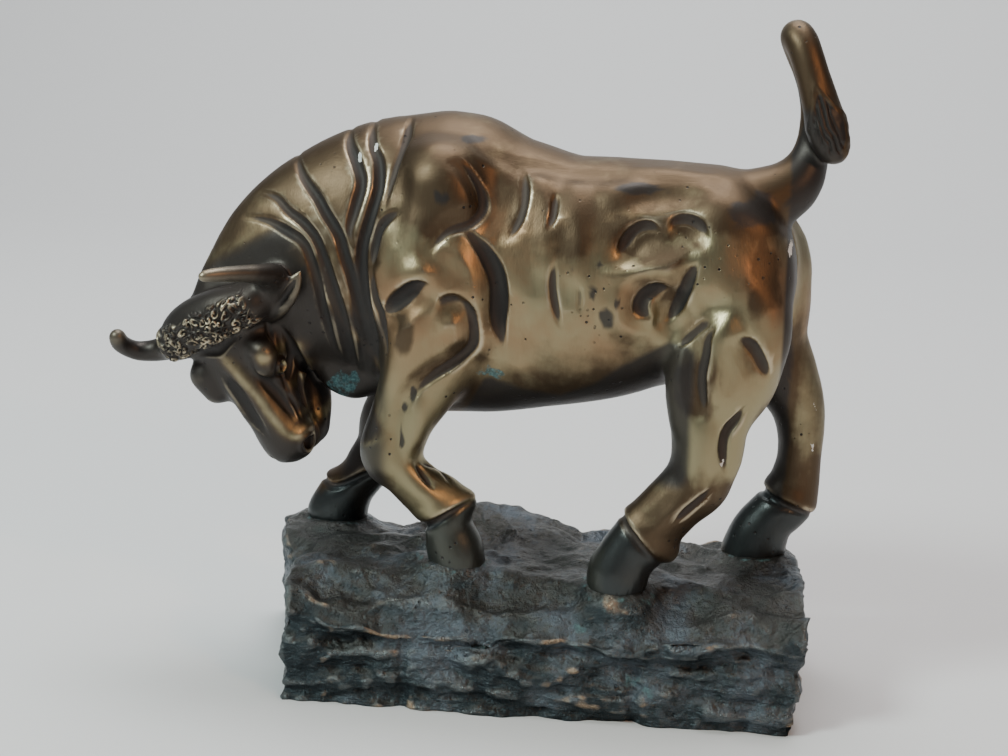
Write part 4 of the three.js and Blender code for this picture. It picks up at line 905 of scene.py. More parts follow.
def make_bull(whole, dipped, carved):
    points, faces = surface_net(carved)
    bull = piece_of("bull_casting", points, faces)
    thin_to(bull, BULL_FACES)
    a, b, c = head_place(middles_of(bull)).T
    around_head = (np.abs(a) < 34) & (np.abs(b - 32) < 46) & (c > -36)
    divide_faces(bull, around_head)
    for _ in range(2):
        middle = middles_of(bull)
        places = head_place(middle)
        fine = (curl_band(*places.T) > 0.02) | ((tuft_panel(middle)[1] < 1.5) & (middle[:, 1] < -7))
        for spot, reach in ((EYE, 6.5), (NOSTRIL, 6)):
            fine |= np.linalg.norm(places - spot, axis=1) < reach
        divide_faces(bull, fine)
    points = settle(points_of(bull), carved)
    move_points(bull, points)
    normals = normals_of(bull)
    sink, depth = -whole.at(points), -dipped.at(points)
    step = 1.1
    bend = sum(carved.at(points + d) + carved.at(points - d) for d in np.eye(3) * step)
    bend = (bend - 6 * carved.at(points)) / step ** 2
    # painted shade: how far each point is hemmed in, for the brass to darken
    shade = 0
    for reach in (3.0, 6.0, 11.0):
        shade = shade + np.clip(reach - whole.at(points + normals * reach), 0, reach) / reach / 3
    height, hair, lock = bull_relief(points)
    move_points(bull, points + normals * height[:, None])
    kept = {"sink": sink, "depth": depth, "bend": bend, "shade": shade, "hair": hair, "lock": lock}
    for name, values in kept.items():
        keep_value(bull, name, values)
    bpy.ops.object.shade_smooth()
    return bull


# The rock: heights of its rims along x, and where its faces stand
FRONT_RIM = ((-114, 42), (-92, 37), (-61, 31), (-30, 29), (1, 36), (36, 35), (70, 39), (117, 45))
BACK_RIM = ((-139, 50), (-126, 56), (-99, 53), (-77, 50), (-45, 65), (-19, 64), (0, 57), (12, 50), (31, 55),
            (64, 50), (110, 51))
FRONT_FACE = ((0, -54.5), (12, -55), (23, -53), (29, -49.5), (32, -50.5), (35.5, -55), (50, -53.5))
LEDGE_LIFT = ((-114, 5), (-90, 2), (-60, -3), (-20, 1), (10, 2), (30, -4), (70, 1), (117, 2))
LEFT_FACE = ((-55, -114), (-25, -116), (-5, -118), (15, -129), (50, -137))
RIGHT_FACE = ((-55, 116), (0, 115), (50, 111))
SEAMS = (-60, 42)
LEDGE_Z = 33
CREST_Y = -41
WAVE_HEIGHT = 1.6
NOTCH = (-126, -2, 15, 12)
MOUNDS = ((-43, -18, 60, 17), (33, -30, 57.5, 18), (-107, 41, 57.5, 17), (95, 27, 57, 17))


def along(table, place):
    places, values = np.asarray(table, float).T
    return np.interp(place, places, values)


def rock_top(x, y):
    """Height of the rock's top."""
    front, back = along(FRONT_RIM, x), along(BACK_RIM, x)
    crest = np.maximum(front + 7, 46) + 1.5 * np.sin(x / 11)
    h = front + (crest - front) * rise(-ROCK_DEPTH / 2, CREST_Y, y)
    h = h + (SOLE_HEIGHT + 0.8 - crest) * rise(CREST_Y, CREST_Y + 17, y)
    h = h + (back - SOLE_HEIGHT - 0.8) * rise(20, ROCK_DEPTH / 2 - 6, y)
    sweep = (x * 0.35 + y) / 9 + 1.2 * noise(x / 30, y / 30, 5)
    h = h + WAVE_HEIGHT * (1 - 2 * np.abs(np.sin(sweep))) * (0.4 + 0.6 * noise(x / 25, y / 25, 9) ** 2)
    h = h + 2.2 * noise(x / 16, y / 12, 1) + 1.1 * noise(x / 7, y / 6, 2)
    for mx, my, height, reach in MOUNDS:
        h = h + (height - h) * np.exp(-(np.hypot(x - mx, y - my) / reach) ** 4)
    dx, dy = (x - NOTCH[0]) / NOTCH[2], (y - NOTCH[1]) / NOTCH[2]
    return h - NOTCH[3] * np.exp(-(dx * dx + dy * dy))


def rock_field(x, y, z):
    """Below nought inside the rock: below its top and inside its four rough sides."""
    lift = along(LEDGE_LIFT, x) + 3.2 * noise(x / 13, 3, 5)
    layers = np.sin(z / 2.1 + 2.5 * noise(x / 28, 3, z / 18))
    strata = 1.3 * layers * rise(LEDGE_Z + 1, LEDGE_Z - 4, z - lift)
    seam = sum(2.4 * np.exp(-(((x - at) / 3) ** 2)) for at in SEAMS)
    rough = 1.8 * noise(x / 13, y / 13, z / 9) + 0.8 * noise(x / 5, y / 5, z / 4)
    ledge = along(FRONT_FACE, z - lift * rise(8, 26, z))
    front = ledge + strata * 0.8 + rough + seam * rise(LEDGE_Z + 2, LEDGE_Z - 6, z)
    back = ROCK_DEPTH / 2 - 2 + 0.6 * rough
    left = along(LEFT_FACE, y) + strata * 0.6 + rough
    right = along(RIGHT_FACE, y) + (z - 45) * 0.1 - strata * 0.6 + rough
    field = (z - rock_top(x, y)) * 0.85
    for side in (front - y, y - back, left - x, x - right):
        field = smooth_max(field, side, 2.5)
    return field


def ridges(x, y, z):
    """Sharp crests between rounded dips, from -1 to 1."""
    return 1 - 2 * np.abs(noise(x, y, z))


def rock_normal(points):
    g = [rock_field(*(points + d).T) - rock_field(*(points - d).T) for d in np.eye(3) * 0.8]
    g = np.stack(g, 1)
    return g / (np.linalg.norm(g, axis=1, keepdims=True) + 1e-9)


def rock_shell():
    """A closed shell of small faces: a grid with its rim pulled down in steps and closed below."""
    deselect_all()
    across, deep = int(ROCK_LENGTH / ROCK_CELL), int(ROCK_DEPTH / ROCK_CELL)
    bpy.ops.mesh.primitive_grid_add(x_subdivisions=across, y_subdivisions=deep, size=1)
    rock = bpy.context.object
    rock.name = rock.data.name = "rock_casting"
    bpy.ops.object.mode_set(mode="EDIT")
    bpy.ops.mesh.select_all(action="SELECT")
    bpy.ops.mesh.region_to_loop()
    layers = int(ROCK_HEIGHT / ROCK_CELL)
    for _ in range(layers):
        bpy.ops.mesh.extrude_region_move(TRANSFORM_OT_translate={"value": (0, 0, -1 / layers)})
    bpy.ops.mesh.edge_face_add()
    bpy.ops.mesh.select_all(action="SELECT")
    bpy.ops.mesh.normals_make_consistent(inside=False)
    bpy.ops.object.mode_set(mode="OBJECT")
    return rock


def rock_relief(points, normals):
    """How far each point of the rock is raised, by facets and by the collars round the hooves."""
    x, y, z = points.T
    flat = rise(0.45, 0.8, normals[:, 2])
    wall = ridges(x / 13, y / 13, z / 3.4) + 0.5 * ridges(x / 6, y / 6, z / 2.2 + 7)
    top = ridges(x / 11, y / 8, 4.5) + 0.4 * ridges(x / 5, y / 4, 8.5)
    facets = 0.8 * (wall * (1 - flat) + top * flat * 0.7 - 0.7)
    facets = facets + 0.3 * noise(x / 3.2, y / 3.2, z / 3.2) + 0.15 * noise(x / 1.8, y / 1.8, z / 1.8)
    under_hoof = collar = 0
    for mx, my, _, _ in MOUNDS:
        far = np.hypot(x - mx, y - my)
        under_hoof = under_hoof + np.exp(-(far / 17) ** 4)
        ragged = far + 1.6 * noise(x / 4, y / 4, 6)
        collar = np.maximum(collar, np.exp(-((ragged - 15.5) / 2.6) ** 2))
    height = facets * (1 - np.minimum(under_hoof, 1)) + collar * 0.5 * (normals[:, 2] > 0.3)
    return height, facets, collar


def make_rock():
    rock = rock_shell()
    u, v, w = (points_of(rock) * MM).T
    y = v * (ROCK_DEPTH - 2)
    left, right = along(LEFT_FACE, y), along(RIGHT_FACE, y)
    x = (left + right) / 2 + u * (right - left)
    z = rock_top(x, y) * (1 + w)
    points = np.stack([x, y, z], 1)
    ground = w < -0.999
    for _ in range(14):
        onward = rock_normal(points)
        onward[w < -0.02, 2] *= 0.15
        points -= onward * np.clip(rock_field(*points.T), -1.5, 1.5)[:, None] * 0.7
        points[ground, 2] = 0
    move_points(rock, points)
    normals = normals_of(rock)
    height, facets, collar = rock_relief(points, normals)
    height[ground] = 0
    points = points + normals * height[:, None]
    points[ground, 2] = 0
    move_points(rock, points)
    normals = normals_of(rock)
    step = 1.6
    bend = sum(rock_field(*(points + d).T) + rock_field(*(points - d).T) for d in np.eye(3) * step)
    bend = (bend - 6 * rock_field(*points.T)) / step ** 2
    # painted shade: how far each point of the rock is hemmed in
    shade = 0
    for reach in (4.0, 8.0, 14.0):
        shade = shade + np.clip(reach - rock_field(*(points + normals * reach).T), 0, reach) / reach / 3
    for name, values in (("bend", bend), ("shade", shade), ("relief", facets), ("collar", collar)):
        keep_value(rock, name, values)
    bpy.ops.object.shade_smooth()
    return rock


# Finishes
BRASS = (0.31, 0.266, 0.160)
COPPER = (0.30, 0.19, 0.108)
BRIGHT_BRASS = (0.52, 0.44, 0.31)
# brown of the patina, also laid as painted shade
BROWN_PATINA_AND_SHADE = (0.106, 0.074, 0.047)
# near black of soot, also laid as painted shade, and in the casting pits
SOOT_AND_SHADE_BLACK = (0.040, 0.037, 0.036)
FOLD_BROWN = (0.066, 0.054, 0.047)
HOOF_SLATE = (0.036, 0.046, 0.050)
PALE_PAINT = (0.80, 0.81, 0.78)
GREEN_DEEP, GREEN_PALE = (0.025, 0.085, 0.095), (0.11, 0.24, 0.25)
ROCK_COOL = ((0.020, 0.030, 0.036), (0.042, 0.056, 0.060))
ROCK_EARTHY = ((0.034, 0.037, 0.035), (0.082, 0.074, 0.064))
ROCK_SLATE = (0.085, 0.105, 0.125)
# rubbed edges of the rock, pale and bluish as a painted highlight
ROCK_RUBBED_AND_SHEEN = (0.19, 0.205, 0.205)
ROCK_COPPER = (0.36, 0.26, 0.17)
ROCK_HOLLOW = (0.009, 0.011, 0.012)
FLOOR_PALE = (0.70, 0.71, 0.72, 1)


def put(tree, kind, sockets=None, **settings):
    """Adds a node. Its sockets get a number, a colour or another node's output."""
    node = tree.nodes.new("ShaderNode" + kind)
    for name, value in settings.items():
        setattr(node, name, value)
    for name, value in (sockets or {}).items():
        if isinstance(value, bpy.types.NodeSocket):
            tree.links.new(value, node.inputs[name])
        else:
            node.inputs[name].default_value = value
    return node


def maths(tree, operation, a, b=0.0):
    return put(tree, "Math", {0: a, 1: b}, operation=operation).outputs[0]


def product(tree, *values):
    total = values[0]
    for value in values[1:]:
        total = maths(tree, "MULTIPLY", total, value)
    return total


def most(tree, *values):
    total = values[0]
    for value in values[1:]:
        total = maths(tree, "MAXIMUM", total, value)
    return total


def band(tree, value, start, end):
    """0 before start, 1 past end, eased between."""
    sockets = {"Value": value, "From Min": start, "From Max": end}
    return put(tree, "MapRange", sockets, interpolation_type="SMOOTHSTEP").outputs["Result"]


def blend_colour(tree, share, first, second):
    node = put(tree, "Mix", {0: share}, data_type="RGBA")
    for socket, value in zip((node.inputs[6], node.inputs[7]), (first, second)):
        if isinstance(value, bpy.types.NodeSocket):
            tree.links.new(value, socket)
        else:
            socket.default_value = (*value, 1)
    return node.outputs[2]


def blend_number(tree, share, first, second):
    return put(tree, "Mix", {0: share, 2: first, 3: second}, data_type="FLOAT").outputs[0]


def mottle(tree, vector, scale, detail=3.0, rough=0.5):
    sockets = {"Vector": vector, "Scale": scale, "Detail": detail, "Roughness": rough}
    return put(tree, "TexNoise", sockets).outputs["Fac"]


def stretched(tree, vector, stretch):
    return put(tree, "Mapping", {"Vector": vector, "Scale": stretch}).outputs[0]


def stored(tree, name):
    return put(tree, "Attribute", attribute_name=name).outputs["Fac"]


def object_places(tree):
    return put(tree, "TexCoord").outputs["Object"]


def new_group(name, inputs, outputs):
    """An empty shader node group with the sockets named."""
    tree = bpy.data.node_groups.new(name, "ShaderNodeTree")
    for socket, kind in inputs.items():
        tree.interface.new_socket(socket, in_out="INPUT", socket_type="NodeSocket" + kind)
    for socket, kind in outputs.items():
        tree.interface.new_socket(socket, in_out="OUTPUT", socket_type="NodeSocket" + kind)
    return tree, tree.nodes.new("NodeGroupInput").outputs, tree.nodes.new("NodeGroupOutput").inputs


def use(tree, group, sockets):
    node = tree.nodes.new("ShaderNodeGroup")
    node.node_tree = group
    for name, value in sockets.items():
        if isinstance(value, bpy.types.NodeSocket):
            tree.links.new(value, node.inputs[name])
        else:
            node.inputs[name].default_value = value
    return node.outputs


def casting_pits():
    """Small round pinholes of the casting: where they are, for colour and for bump."""
    tree, given, out = new_group("casting pits", {"Places": "Vector", "Scale": "Float"}, {"Pits": "Float"})
    sockets = {"Vector": given["Places"], "Scale": given["Scale"]}
    cells = put(tree, "TexVoronoi", sockets)
    chosen = band(tree, put(tree, "SeparateColor", {0: cells.outputs["Color"]}).outputs[0], 0.52, 0.64)
    grouped = band(tree, mottle(tree, given["Places"], 40.0), 0.54, 0.62)
    hole = band(tree, cells.outputs["Distance"], 0.26, 0.14)
    tree.links.new(product(tree, hole, chosen, grouped), out["Pits"])
    return tree


def verdigris():
    """Blue-green bloom where it is allowed to grow: its share and its colour."""
    tree, given, out = new_group("verdigris", {"Places": "Vector", "Where": "Float"},
                                 {"Bloom": "Float", "Colour": "Color"})
    cloud = mottle(tree, given["Places"], 210.0, 4.0, 0.62)
    edge = maths(tree, "SUBTRACT", 0.98, given["Where"])
    full = maths(tree, "ADD", edge, 0.16)
    share = put(tree, "MapRange", {"Value": cloud, "From Min": edge, "From Max": full})
    grain = mottle(tree, given["Places"], 900.0, 2.0)
    colour = blend_colour(tree, band(tree, grain, 0.35, 0.7), GREEN_DEEP, GREEN_PALE)
    tree.links.new(share.outputs["Result"], out["Bloom"])
    tree.links.new(colour, out["Colour"])
    return tree


def worn_edges():
    """Where handling has rubbed proud edges bright; on the rock these edges also carry a painted highlight.
    """
    tree, given, out = new_group("worn edges", {"Places": "Vector", "Bend": "Float"}, {"Worn": "Float"})
    uneven = maths(tree, "MULTIPLY", mottle(tree, given["Places"], 160.0), 0.16)
    rub = maths(tree, "ADD", given["Bend"], uneven)
    tree.links.new(band(tree, rub, 0.24, 0.60), out["Worn"])
    return tree


def new_finish(name):
    material = bpy.data.materials.new(name)
    material.use_nodes = True
    tree = material.node_tree
    return material, tree, tree.nodes["Principled BSDF"]


def join_surface(tree, shader, colour, metal, roughness, bump_height, bump_depth):
    bump = put(tree, "Bump", {"Height": bump_height, "Distance": bump_depth})
    tree.links.new(bump.outputs[0], shader.inputs["Normal"])
    tree.links.new(colour, shader.inputs["Base Color"])
    tree.links.new(metal, shader.inputs["Metallic"])
    tree.links.new(roughness, shader.inputs["Roughness"])


def bull_brass(pits, bloom, worn):
    material, tree, shader = new_finish("bull_brass")
    places = object_places(tree)
    sink, depth, bend, shade = (stored(tree, name) for name in ("sink", "depth", "bend", "shade"))
    brown, soot_and_shade, hair, lock = (stored(tree, name) for name in ("brown", "soot_and_shade", "hair", "lock"))
    cloud = mottle(tree, places, 22.0, 4.0, 0.55)
    smear = mottle(tree, stretched(tree, places, (90, 90, 30)), 1.0, 4.0, 0.6)
    # mottling for the grime in the folds and for the painted shade in corners
    grime_and_shade = maths(tree, "MULTIPLY", mottle(tree, places, 120.0, 4.0), 0.5)
    height = put(tree, "SeparateXYZ", {0: places}).outputs[2]
    coppery = product(tree, band(tree, cloud, 0.38, 0.64), band(tree, height, 0.12, 0.18))
    brass = blend_colour(tree, coppery, BRASS, COPPER)
    # brown patina, together with the painted shade of the far legs and of the faces that look down
    patina_and_shade = maths(tree, "ADD", brown, maths(tree, "MULTIPLY", smear, 0.75))
    patina_and_shade = maths(tree, "ADD", patina_and_shade, maths(tree, "MULTIPLY", band(tree, sink, 0.3, 1.6), 0.4))
    patina_and_shade = maths(tree, "ADD", patina_and_shade, maths(tree, "MULTIPLY", mottle(tree, places, 150.0, 3.0), 0.5))
    tone = band(tree, patina_and_shade, 0.70, 1.45)
    colour = blend_colour(tree, tone, brass, BROWN_PATINA_AND_SHADE)
    in_folds = band(tree, maths(tree, "ADD", depth, grime_and_shade), 0.7, 1.25)
    deep = band(tree, depth, 1.2, 2.4)
    # painted shade, with patina: dark where the surface is hemmed in, in crevices and between parts
    corner_shade = band(tree, maths(tree, "ADD", shade, maths(tree, "MULTIPLY", grime_and_shade, 0.5)), 0.66, 0.95)
    # soot together with painted shade, from the stored mask
    sooted_and_shaded = band(tree, maths(tree, "ADD", soot_and_shade, maths(tree, "MULTIPLY", cloud, 0.4)), 0.4, 1.0)
    in_hair = product(tree, hair, band(tree, lock, 0.62, 0.2))
    dark = most(tree, in_folds, corner_shade, sooted_and_shaded, in_hair)
    black = blend_colour(tree, stored(tree, "hoof"), SOOT_AND_SHADE_BLACK, HOOF_SLATE)
    colour = blend_colour(tree, maths(tree, "MULTIPLY", in_folds, 0.92), colour, FOLD_BROWN)
    black_share = most(tree, product(tree, in_folds, deep), corner_shade, sooted_and_shaded, in_hair)
    colour = blend_colour(tree, maths(tree, "MULTIPLY", black_share, 0.90), colour, black)
    rubbed = use(tree, worn, {"Places": places, "Bend": bend})["Worn"]
    clean = maths(tree, "SUBTRACT", 1.0, maths(tree, "MULTIPLY", soot_and_shade, 0.85))
    rubbed = product(tree, rubbed, clean, maths(tree, "SUBTRACT", 1.0, stored(tree, "hoof")))
    patchy = band(tree, mottle(tree, places, 60.0, 3.0), 0.36, 0.54)
    lit_hair = band(tree, mottle(tree, places, 150.0), 0.38, 0.62)
    hair_tops = product(tree, hair, band(tree, lock, 0.5, 0.9), lit_hair)
    bright = most(tree, product(tree, rubbed, patchy, 0.75), hair_tops)
    colour = blend_colour(tree, bright, colour, BRIGHT_BRASS)
    holes = use(tree, pits, {"Places": places, "Scale": 330.0})["Pits"]
    colour = blend_colour(tree, holes, colour, SOOT_AND_SHADE_BLACK)
    green = use(tree, bloom, {"Places": places, "Where": stored(tree, "green")})
    colour = blend_colour(tree, maths(tree, "MULTIPLY", green["Bloom"], 0.85), colour, green["Colour"])
    paint = band(tree, maths(tree, "ADD", stored(tree, "paint"), mottle(tree, places, 700.0, 2.0)), 1.0, 1.12)
    colour = blend_colour(tree, paint, colour, PALE_PAINT)
    dull = most(tree, green["Bloom"], paint)
    metal = maths(tree, "SUBTRACT", blend_number(tree, dark, 1.0, 0.75), dull)
    fine = mottle(tree, stretched(tree, places, (1500, 1500, 130)), 1.0, 2.0)
    long_fine = mottle(tree, stretched(tree, places, (130, 1500, 1500)), 1.0, 2.0)
    brushing = blend_number(tree, stored(tree, "back"), fine, long_fine)
    gloss = blend_number(tree, band(tree, cloud, 0.3, 0.7), 0.31, 0.41)
    roughness = blend_number(tree, tone, gloss, 0.44)
    roughness = blend_number(tree, sooted_and_shaded, roughness, 0.42)
    roughness = blend_number(tree, in_folds, roughness, 0.58)
    roughness = blend_number(tree, stored(tree, "hoof"), roughness, 0.30)
    roughness = blend_number(tree, bright, roughness, 0.28)
    roughness = maths(tree, "ADD", roughness, maths(tree, "MULTIPLY", brushing, 0.10))
    roughness = blend_number(tree, dull, roughness, 0.8)
    relief = maths(tree, "SUBTRACT", maths(tree, "MULTIPLY", brushing, 0.25), holes)
    relief = maths(tree, "ADD", relief, maths(tree, "MULTIPLY", smear, 0.5))
    join_surface(tree, shader, colour, metal, roughness, relief, 0.00025)
    return material


def rock_bronze(pits, bloom, worn):
    material, tree, shader = new_finish("rock_bronze")
    places = object_places(tree)
    bend, shade, relief, collar = (stored(tree, name) for name in ("bend", "shade", "relief", "collar"))
    cloud = mottle(tree, places, 30.0, 4.0, 0.6)
    grain = mottle(tree, places, 420.0, 4.0, 0.65)
    normal = put(tree, "NewGeometry").outputs["Normal"]
    upward = band(tree, put(tree, "SeparateXYZ", {0: normal}).outputs[2], 0.35, 0.85)
    cool = blend_colour(tree, band(tree, cloud, 0.35, 0.65), *ROCK_COOL)
    earthy = blend_colour(tree, band(tree, cloud, 0.35, 0.65), *ROCK_EARTHY)
    colour = blend_colour(tree, upward, cool, earthy)
    slate = band(tree, maths(tree, "ADD", cloud, maths(tree, "MULTIPLY", grain, 0.3)), 0.60, 0.80)
    colour = blend_colour(tree, slate, colour, ROCK_SLATE)
    proud = maths(tree, "ADD", bend, maths(tree, "MULTIPLY", relief, 0.4))
    rubbed = use(tree, worn, {"Places": places, "Bend": proud})
    patchy = mottle(tree, places, 45.0, 3.0)
    # rubbed edges, pale and bluish as a painted highlight
    colour = blend_colour(tree, maths(tree, "MULTIPLY", rubbed["Worn"], 0.5), colour, ROCK_RUBBED_AND_SHEEN)
    copper = product(tree, rubbed["Worn"], band(tree, patchy, 0.56, 0.64))
    colour = blend_colour(tree, maths(tree, "MULTIPLY", copper, 0.7), colour, ROCK_COPPER)
    # painted shade, with patina: the rock's hollows and low facets dark
    low = maths(tree, "SUBTRACT", shade, maths(tree, "MULTIPLY", relief, 0.35))
    dark = band(tree, maths(tree, "ADD", low, maths(tree, "MULTIPLY", grain, 0.2)), 0.50, 0.95)
    colour = blend_colour(tree, dark, colour, ROCK_HOLLOW)
    patches = maths(tree, "MULTIPLY", band(tree, mottle(tree, places, 26.0), 0.54, 0.70), 0.5)
    where = most(tree, maths(tree, "MULTIPLY", shade, 0.5), maths(tree, "MULTIPLY", collar, 0.5), patches)
    green = use(tree, bloom, {"Places": places, "Where": where})
    bloomed = maths(tree, "MULTIPLY", green["Bloom"], 0.6)
    colour = blend_colour(tree, bloomed, colour, green["Colour"])
    holes = use(tree, pits, {"Places": places, "Scale": 260.0})["Pits"]
    metal = maths(tree, "SUBTRACT", blend_number(tree, rubbed["Worn"], 0.6, 0.9), bloomed)
    roughness = blend_number(tree, band(tree, grain, 0.3, 0.7), 0.26, 0.44)
    roughness = blend_number(tree, bloomed, roughness, 0.8)
    layers = mottle(tree, stretched(tree, places, (120, 120, 290)), 1.0, 4.0, 0.65)
    lumps = blend_number(tree, upward, layers, mottle(tree, places, 130.0, 3.0))
    lumps = maths(tree, "MULTIPLY", lumps, 2.2)
    bumps = maths(tree, "SUBTRACT", maths(tree, "ADD", grain, lumps), holes)
    join_surface(tree, shader, colour, metal, roughness, bumps, 0.0012)
    return material


# Where the brass is toned, sooty, green or splashed, or carries painted shade and highlight, by place
PAINT_FLECKS = ((-89.3, 238.0, 1.5, 3.4), (-82.4, 242.6, 1.6, 2.6), (98.6, 208.0, 1.6, 4.0),
                (117.2, 112.7, 1.8, 3.0), (117.8, 130.2, 1.8, 2.2), (75.0, 116.8, 1.4, 1.6),
                (-63.0, 123.1, 1.4, 1.5))
GREEN_BLOOMS = ((-97.4, 133.8, 11, 9), (-27.8, 148.2, 9, 5))
BROWN_STAINS = ((-47, 222, 20, 16), (34, 214, 20, 12), (62, 150, 11, 16), (100, 225, 18, 12),
                (-64, 164, 5, 12), (8, 214, 9, 18), (43, 208, 20, 9), (88, 196, 8, 22),
                (104, 272, 16, 22), (45, 207, 18, 8), (-84, 206, 10, 26), (-118, 196, 14, 20),
                (78, 232, 22, 10))
DARK_STAINS = ((80.5, 224, 15, 7.5), (22.5, 177.5, 4, 6), (6.4, 198.6, 1.8, 1.8), (19.0, 200.1, 2.0, 2.0),
               (-40.4, 247.9, 6, 2.4), (34.3, 231.2, 16, 3), (-50, 225, 4.5, 3.5), (-60.5, 138, 1.7, 4.5),
               (-64.5, 131, 1.4, 3.5), (-65.7, 116.5, 1.3, 5), (-71.8, 108.4, 1.8, 1.3), (16.1, 188, 1.7, 3),
               (27, 184, 1.5, 2.4))

# Spots of the face that are rubbed to the brass and lightened as a painted highlight, in the head's frame:
# place (a, b), size and share
RUBBED_AND_LIT_FACE = ((-12, 61, 4, 0.8), (-20, 23, 4, 0.8), (-27, 27, 3.5, 0.7), (-23, 35, 3.5, 0.8),
               (-18, 41, 3, 0.7), (-13, 55, 2.5, 0.5), (7, 40, 3, 0.3))

# The rubbed ridge of the nose, lightened also as a painted highlight: place down the face and across it
NOSE_RIDGE = ((13, -1), (22, -3), (31, -5), (41, -7), (50, -8), (58, -9), (63, -11))

# The height along x below which the belly is dark
BELLY_EDGE = ((-53, 146), (-36, 149), (-15, 140), (3, 137), (20, 147), (38, 159), (50, 168))


def near_patches(points, normals, patches, share=1.0, rough=1.0):
    """Oval patches (x, z, half width, half height) on the near side."""
    total = np.zeros(len(points))
    ragged = 0.35 * noise(*(points / 7).T) + 0.18 * noise(*(points / 2.5).T)
    for x, z, wide, high in patches:
        far = np.hypot((points[:, 0] - x) / wide, (points[:, 2] - z) / high) + ragged * rough
        total = np.maximum(total, (1 - rise(0.45, 1.15, far)) * (normals[:, 1] < 0.2) * share)
    return total


def face_wear(face):
    """Where the face is rubbed to the brass and lightened as a painted highlight, and the painted shade in
    the holes of its eye and nostril.
    """
    a, b, c = face.T
    ridge = along(NOSE_RIDGE, b)
    rubbed = 0.65 * np.exp(-((a - ridge) / 4.2) ** 2) * rise(10, 18, b) * rise(68, 60, b) * rise(-6, 0, c)
    for spot_a, spot_b, size, share in RUBBED_AND_LIT_FACE:
        rubbed = np.maximum(rubbed, share * np.exp(-(np.hypot(a - spot_a, b - spot_b) / size) ** 2))
    eye, nostril = far_from(face, EYE), far_from(face, NOSTRIL)
    rubbed = np.maximum(rubbed, 0.9 * np.exp(-((eye - 2.6) / 0.8) ** 2))
    rubbed = np.maximum(rubbed, 0.9 * np.exp(-((nostril - 4.6) / 1.1) ** 2))
    # painted shade in the holes of the eye and nostril
    holes = np.maximum(np.exp(-((eye / 1.3) ** 4)), np.exp(-((nostril / 2.9) ** 4)))
    return rubbed, holes


def hoof_share(points):
    """How far each point belongs to a hoof, below the edge of the skin."""
    share = 0
    for middle, _, tilt, _, _ in CUFFS.values():
        out = points - middle
        above = out[:, 2] * cos(radians(tilt)) - out[:, 0] * sin(radians(tilt))
        reach = rise(42, 34, np.linalg.norm(out, axis=1))
        share = np.maximum(share, rise(4, -1.5, above) * reach)
    return share


def tail_soot(points, cloudy):
    """The dark leaf, end and slit of the tail's tuft."""
    x, y, z = points.T
    leaf = tuft_panel(points)[0]
    tail_end = rise(274, 262, z + cloudy * 0.3) * rise(95, 99, x) * rise(-5, -9, y)
    tail_end = tail_end * rise(122, 114, x + (z - 250) * 0.4)
    slit = np.exp(-((x - 98.5) / 2.2) ** 2) * rise(289, 283, z) * rise(262, 270, z) * rise(-9, -5, y)
    return np.maximum.reduce([leaf, tail_end * 0.9, slit])


def tone_bull(bull):
    """Stores where the brass is brown, sooty, green or splashed, or carries painted shade and highlight, for
    its material to read.
    """
    points, normals = points_of(bull), normals_of(bull)
    x, y, z = points.T
    face = head_place(points)
    a, b, c = face.T
    cloudy = 9 * noise(x / 17, y / 17, z / 17) + 4 * noise(x / 6, y / 6, z / 6)
    on_head = rise(58, 48, np.abs(a)) * rise(-30, -20, b) * rise(80, 74, b) * rise(-48, -36, c)
    # rubbed: brass rubbed bare, with a painted highlight; holes: painted shade
    rubbed, holes = face_wear(face)
    hooves = hoof_share(points)

    neck = rise(-76, -92, x) * (1 - on_head)
    upper = rise(198, 228, z + cloudy) * 0.8
    rump = rise(56, 66, x) * rise(211, 218, z + cloudy * 0.4)
    # painted shade: the far legs browner
    far_legs = rise(2, 14, y) * rise(196, 176, z) * (0.8 - 0.4 * rise(106, 110, x))
    # painted shade: browner where the surface looks down
    under = rise(-0.15, -0.75, normals[:, 2]) * 0.8
    near_shin = rise(118, 104, z + cloudy) * rise(20, 30, x) * 0.85
    brown = np.maximum.reduce([upper, neck * 0.7, on_head, rump, far_legs, near_shin, under])
    brown = np.maximum(brown, near_patches(points, normals, BROWN_STAINS, 0.85))
    brown = brown * (1 - on_head * rubbed)

    # dark underside of the belly: patina together with painted shade
    belly = rise(5, -4, z - along(BELLY_EDGE, x) + cloudy * 0.2)
    belly = belly * rise(-26, -20, x + (158 - z) * 0.55) * rise(66, 56, x) * rise(98, 112, z)
    # darker under the throat
    throat = rise(178, 166, z) * rise(-112, -100, x) * rise(-66, -78, x) * (1 - on_head) * 0.7
    far_shade = rise(4, 10, y) * rise(186, 168, z) * rise(108, 103, x + cloudy * 0.2) * rise(70, 84, x) * 0.8
    horns = (0.15 + 0.75 * (a > 0)) * rise(32, 37, np.abs(a)) * on_head
    roll = rise(-6, -11, b) * rise(-24, -18, b) * rise(34, 28, np.abs(a)) * on_head * 0.65
    dark_face = on_head * (1 - rubbed) * 0.76
    stains = near_patches(points, normals, DARK_STAINS, 0.9)
    tail = tail_soot(points, cloudy)
    # besides soot, this mask holds painted shade on the belly, the far side and in the eye and nostril holes,
    # and the darkening under the throat
    soot_and_shade = np.maximum.reduce([belly, throat, far_shade, hooves * 0.75, tail])
    soot_and_shade = np.maximum.reduce([soot_and_shade, horns, roll, dark_face, holes, stains])

    keep_value(bull, "brown", brown)
    keep_value(bull, "soot_and_shade", soot_and_shade)
    keep_value(bull, "hoof", hooves)
    keep_value(bull, "green", near_patches(points, normals, GREEN_BLOOMS, 0.62))
    keep_value(bull, "paint", near_patches(points, normals, PAINT_FLECKS, 0.9, 0.35))
    keep_value(bull, "back", rise(224, 238, z) * rise(283, 262, z))


def dress_casting(piece, node, material):
    piece.data.materials.append(material)
    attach(piece, "root")
    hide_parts(node)


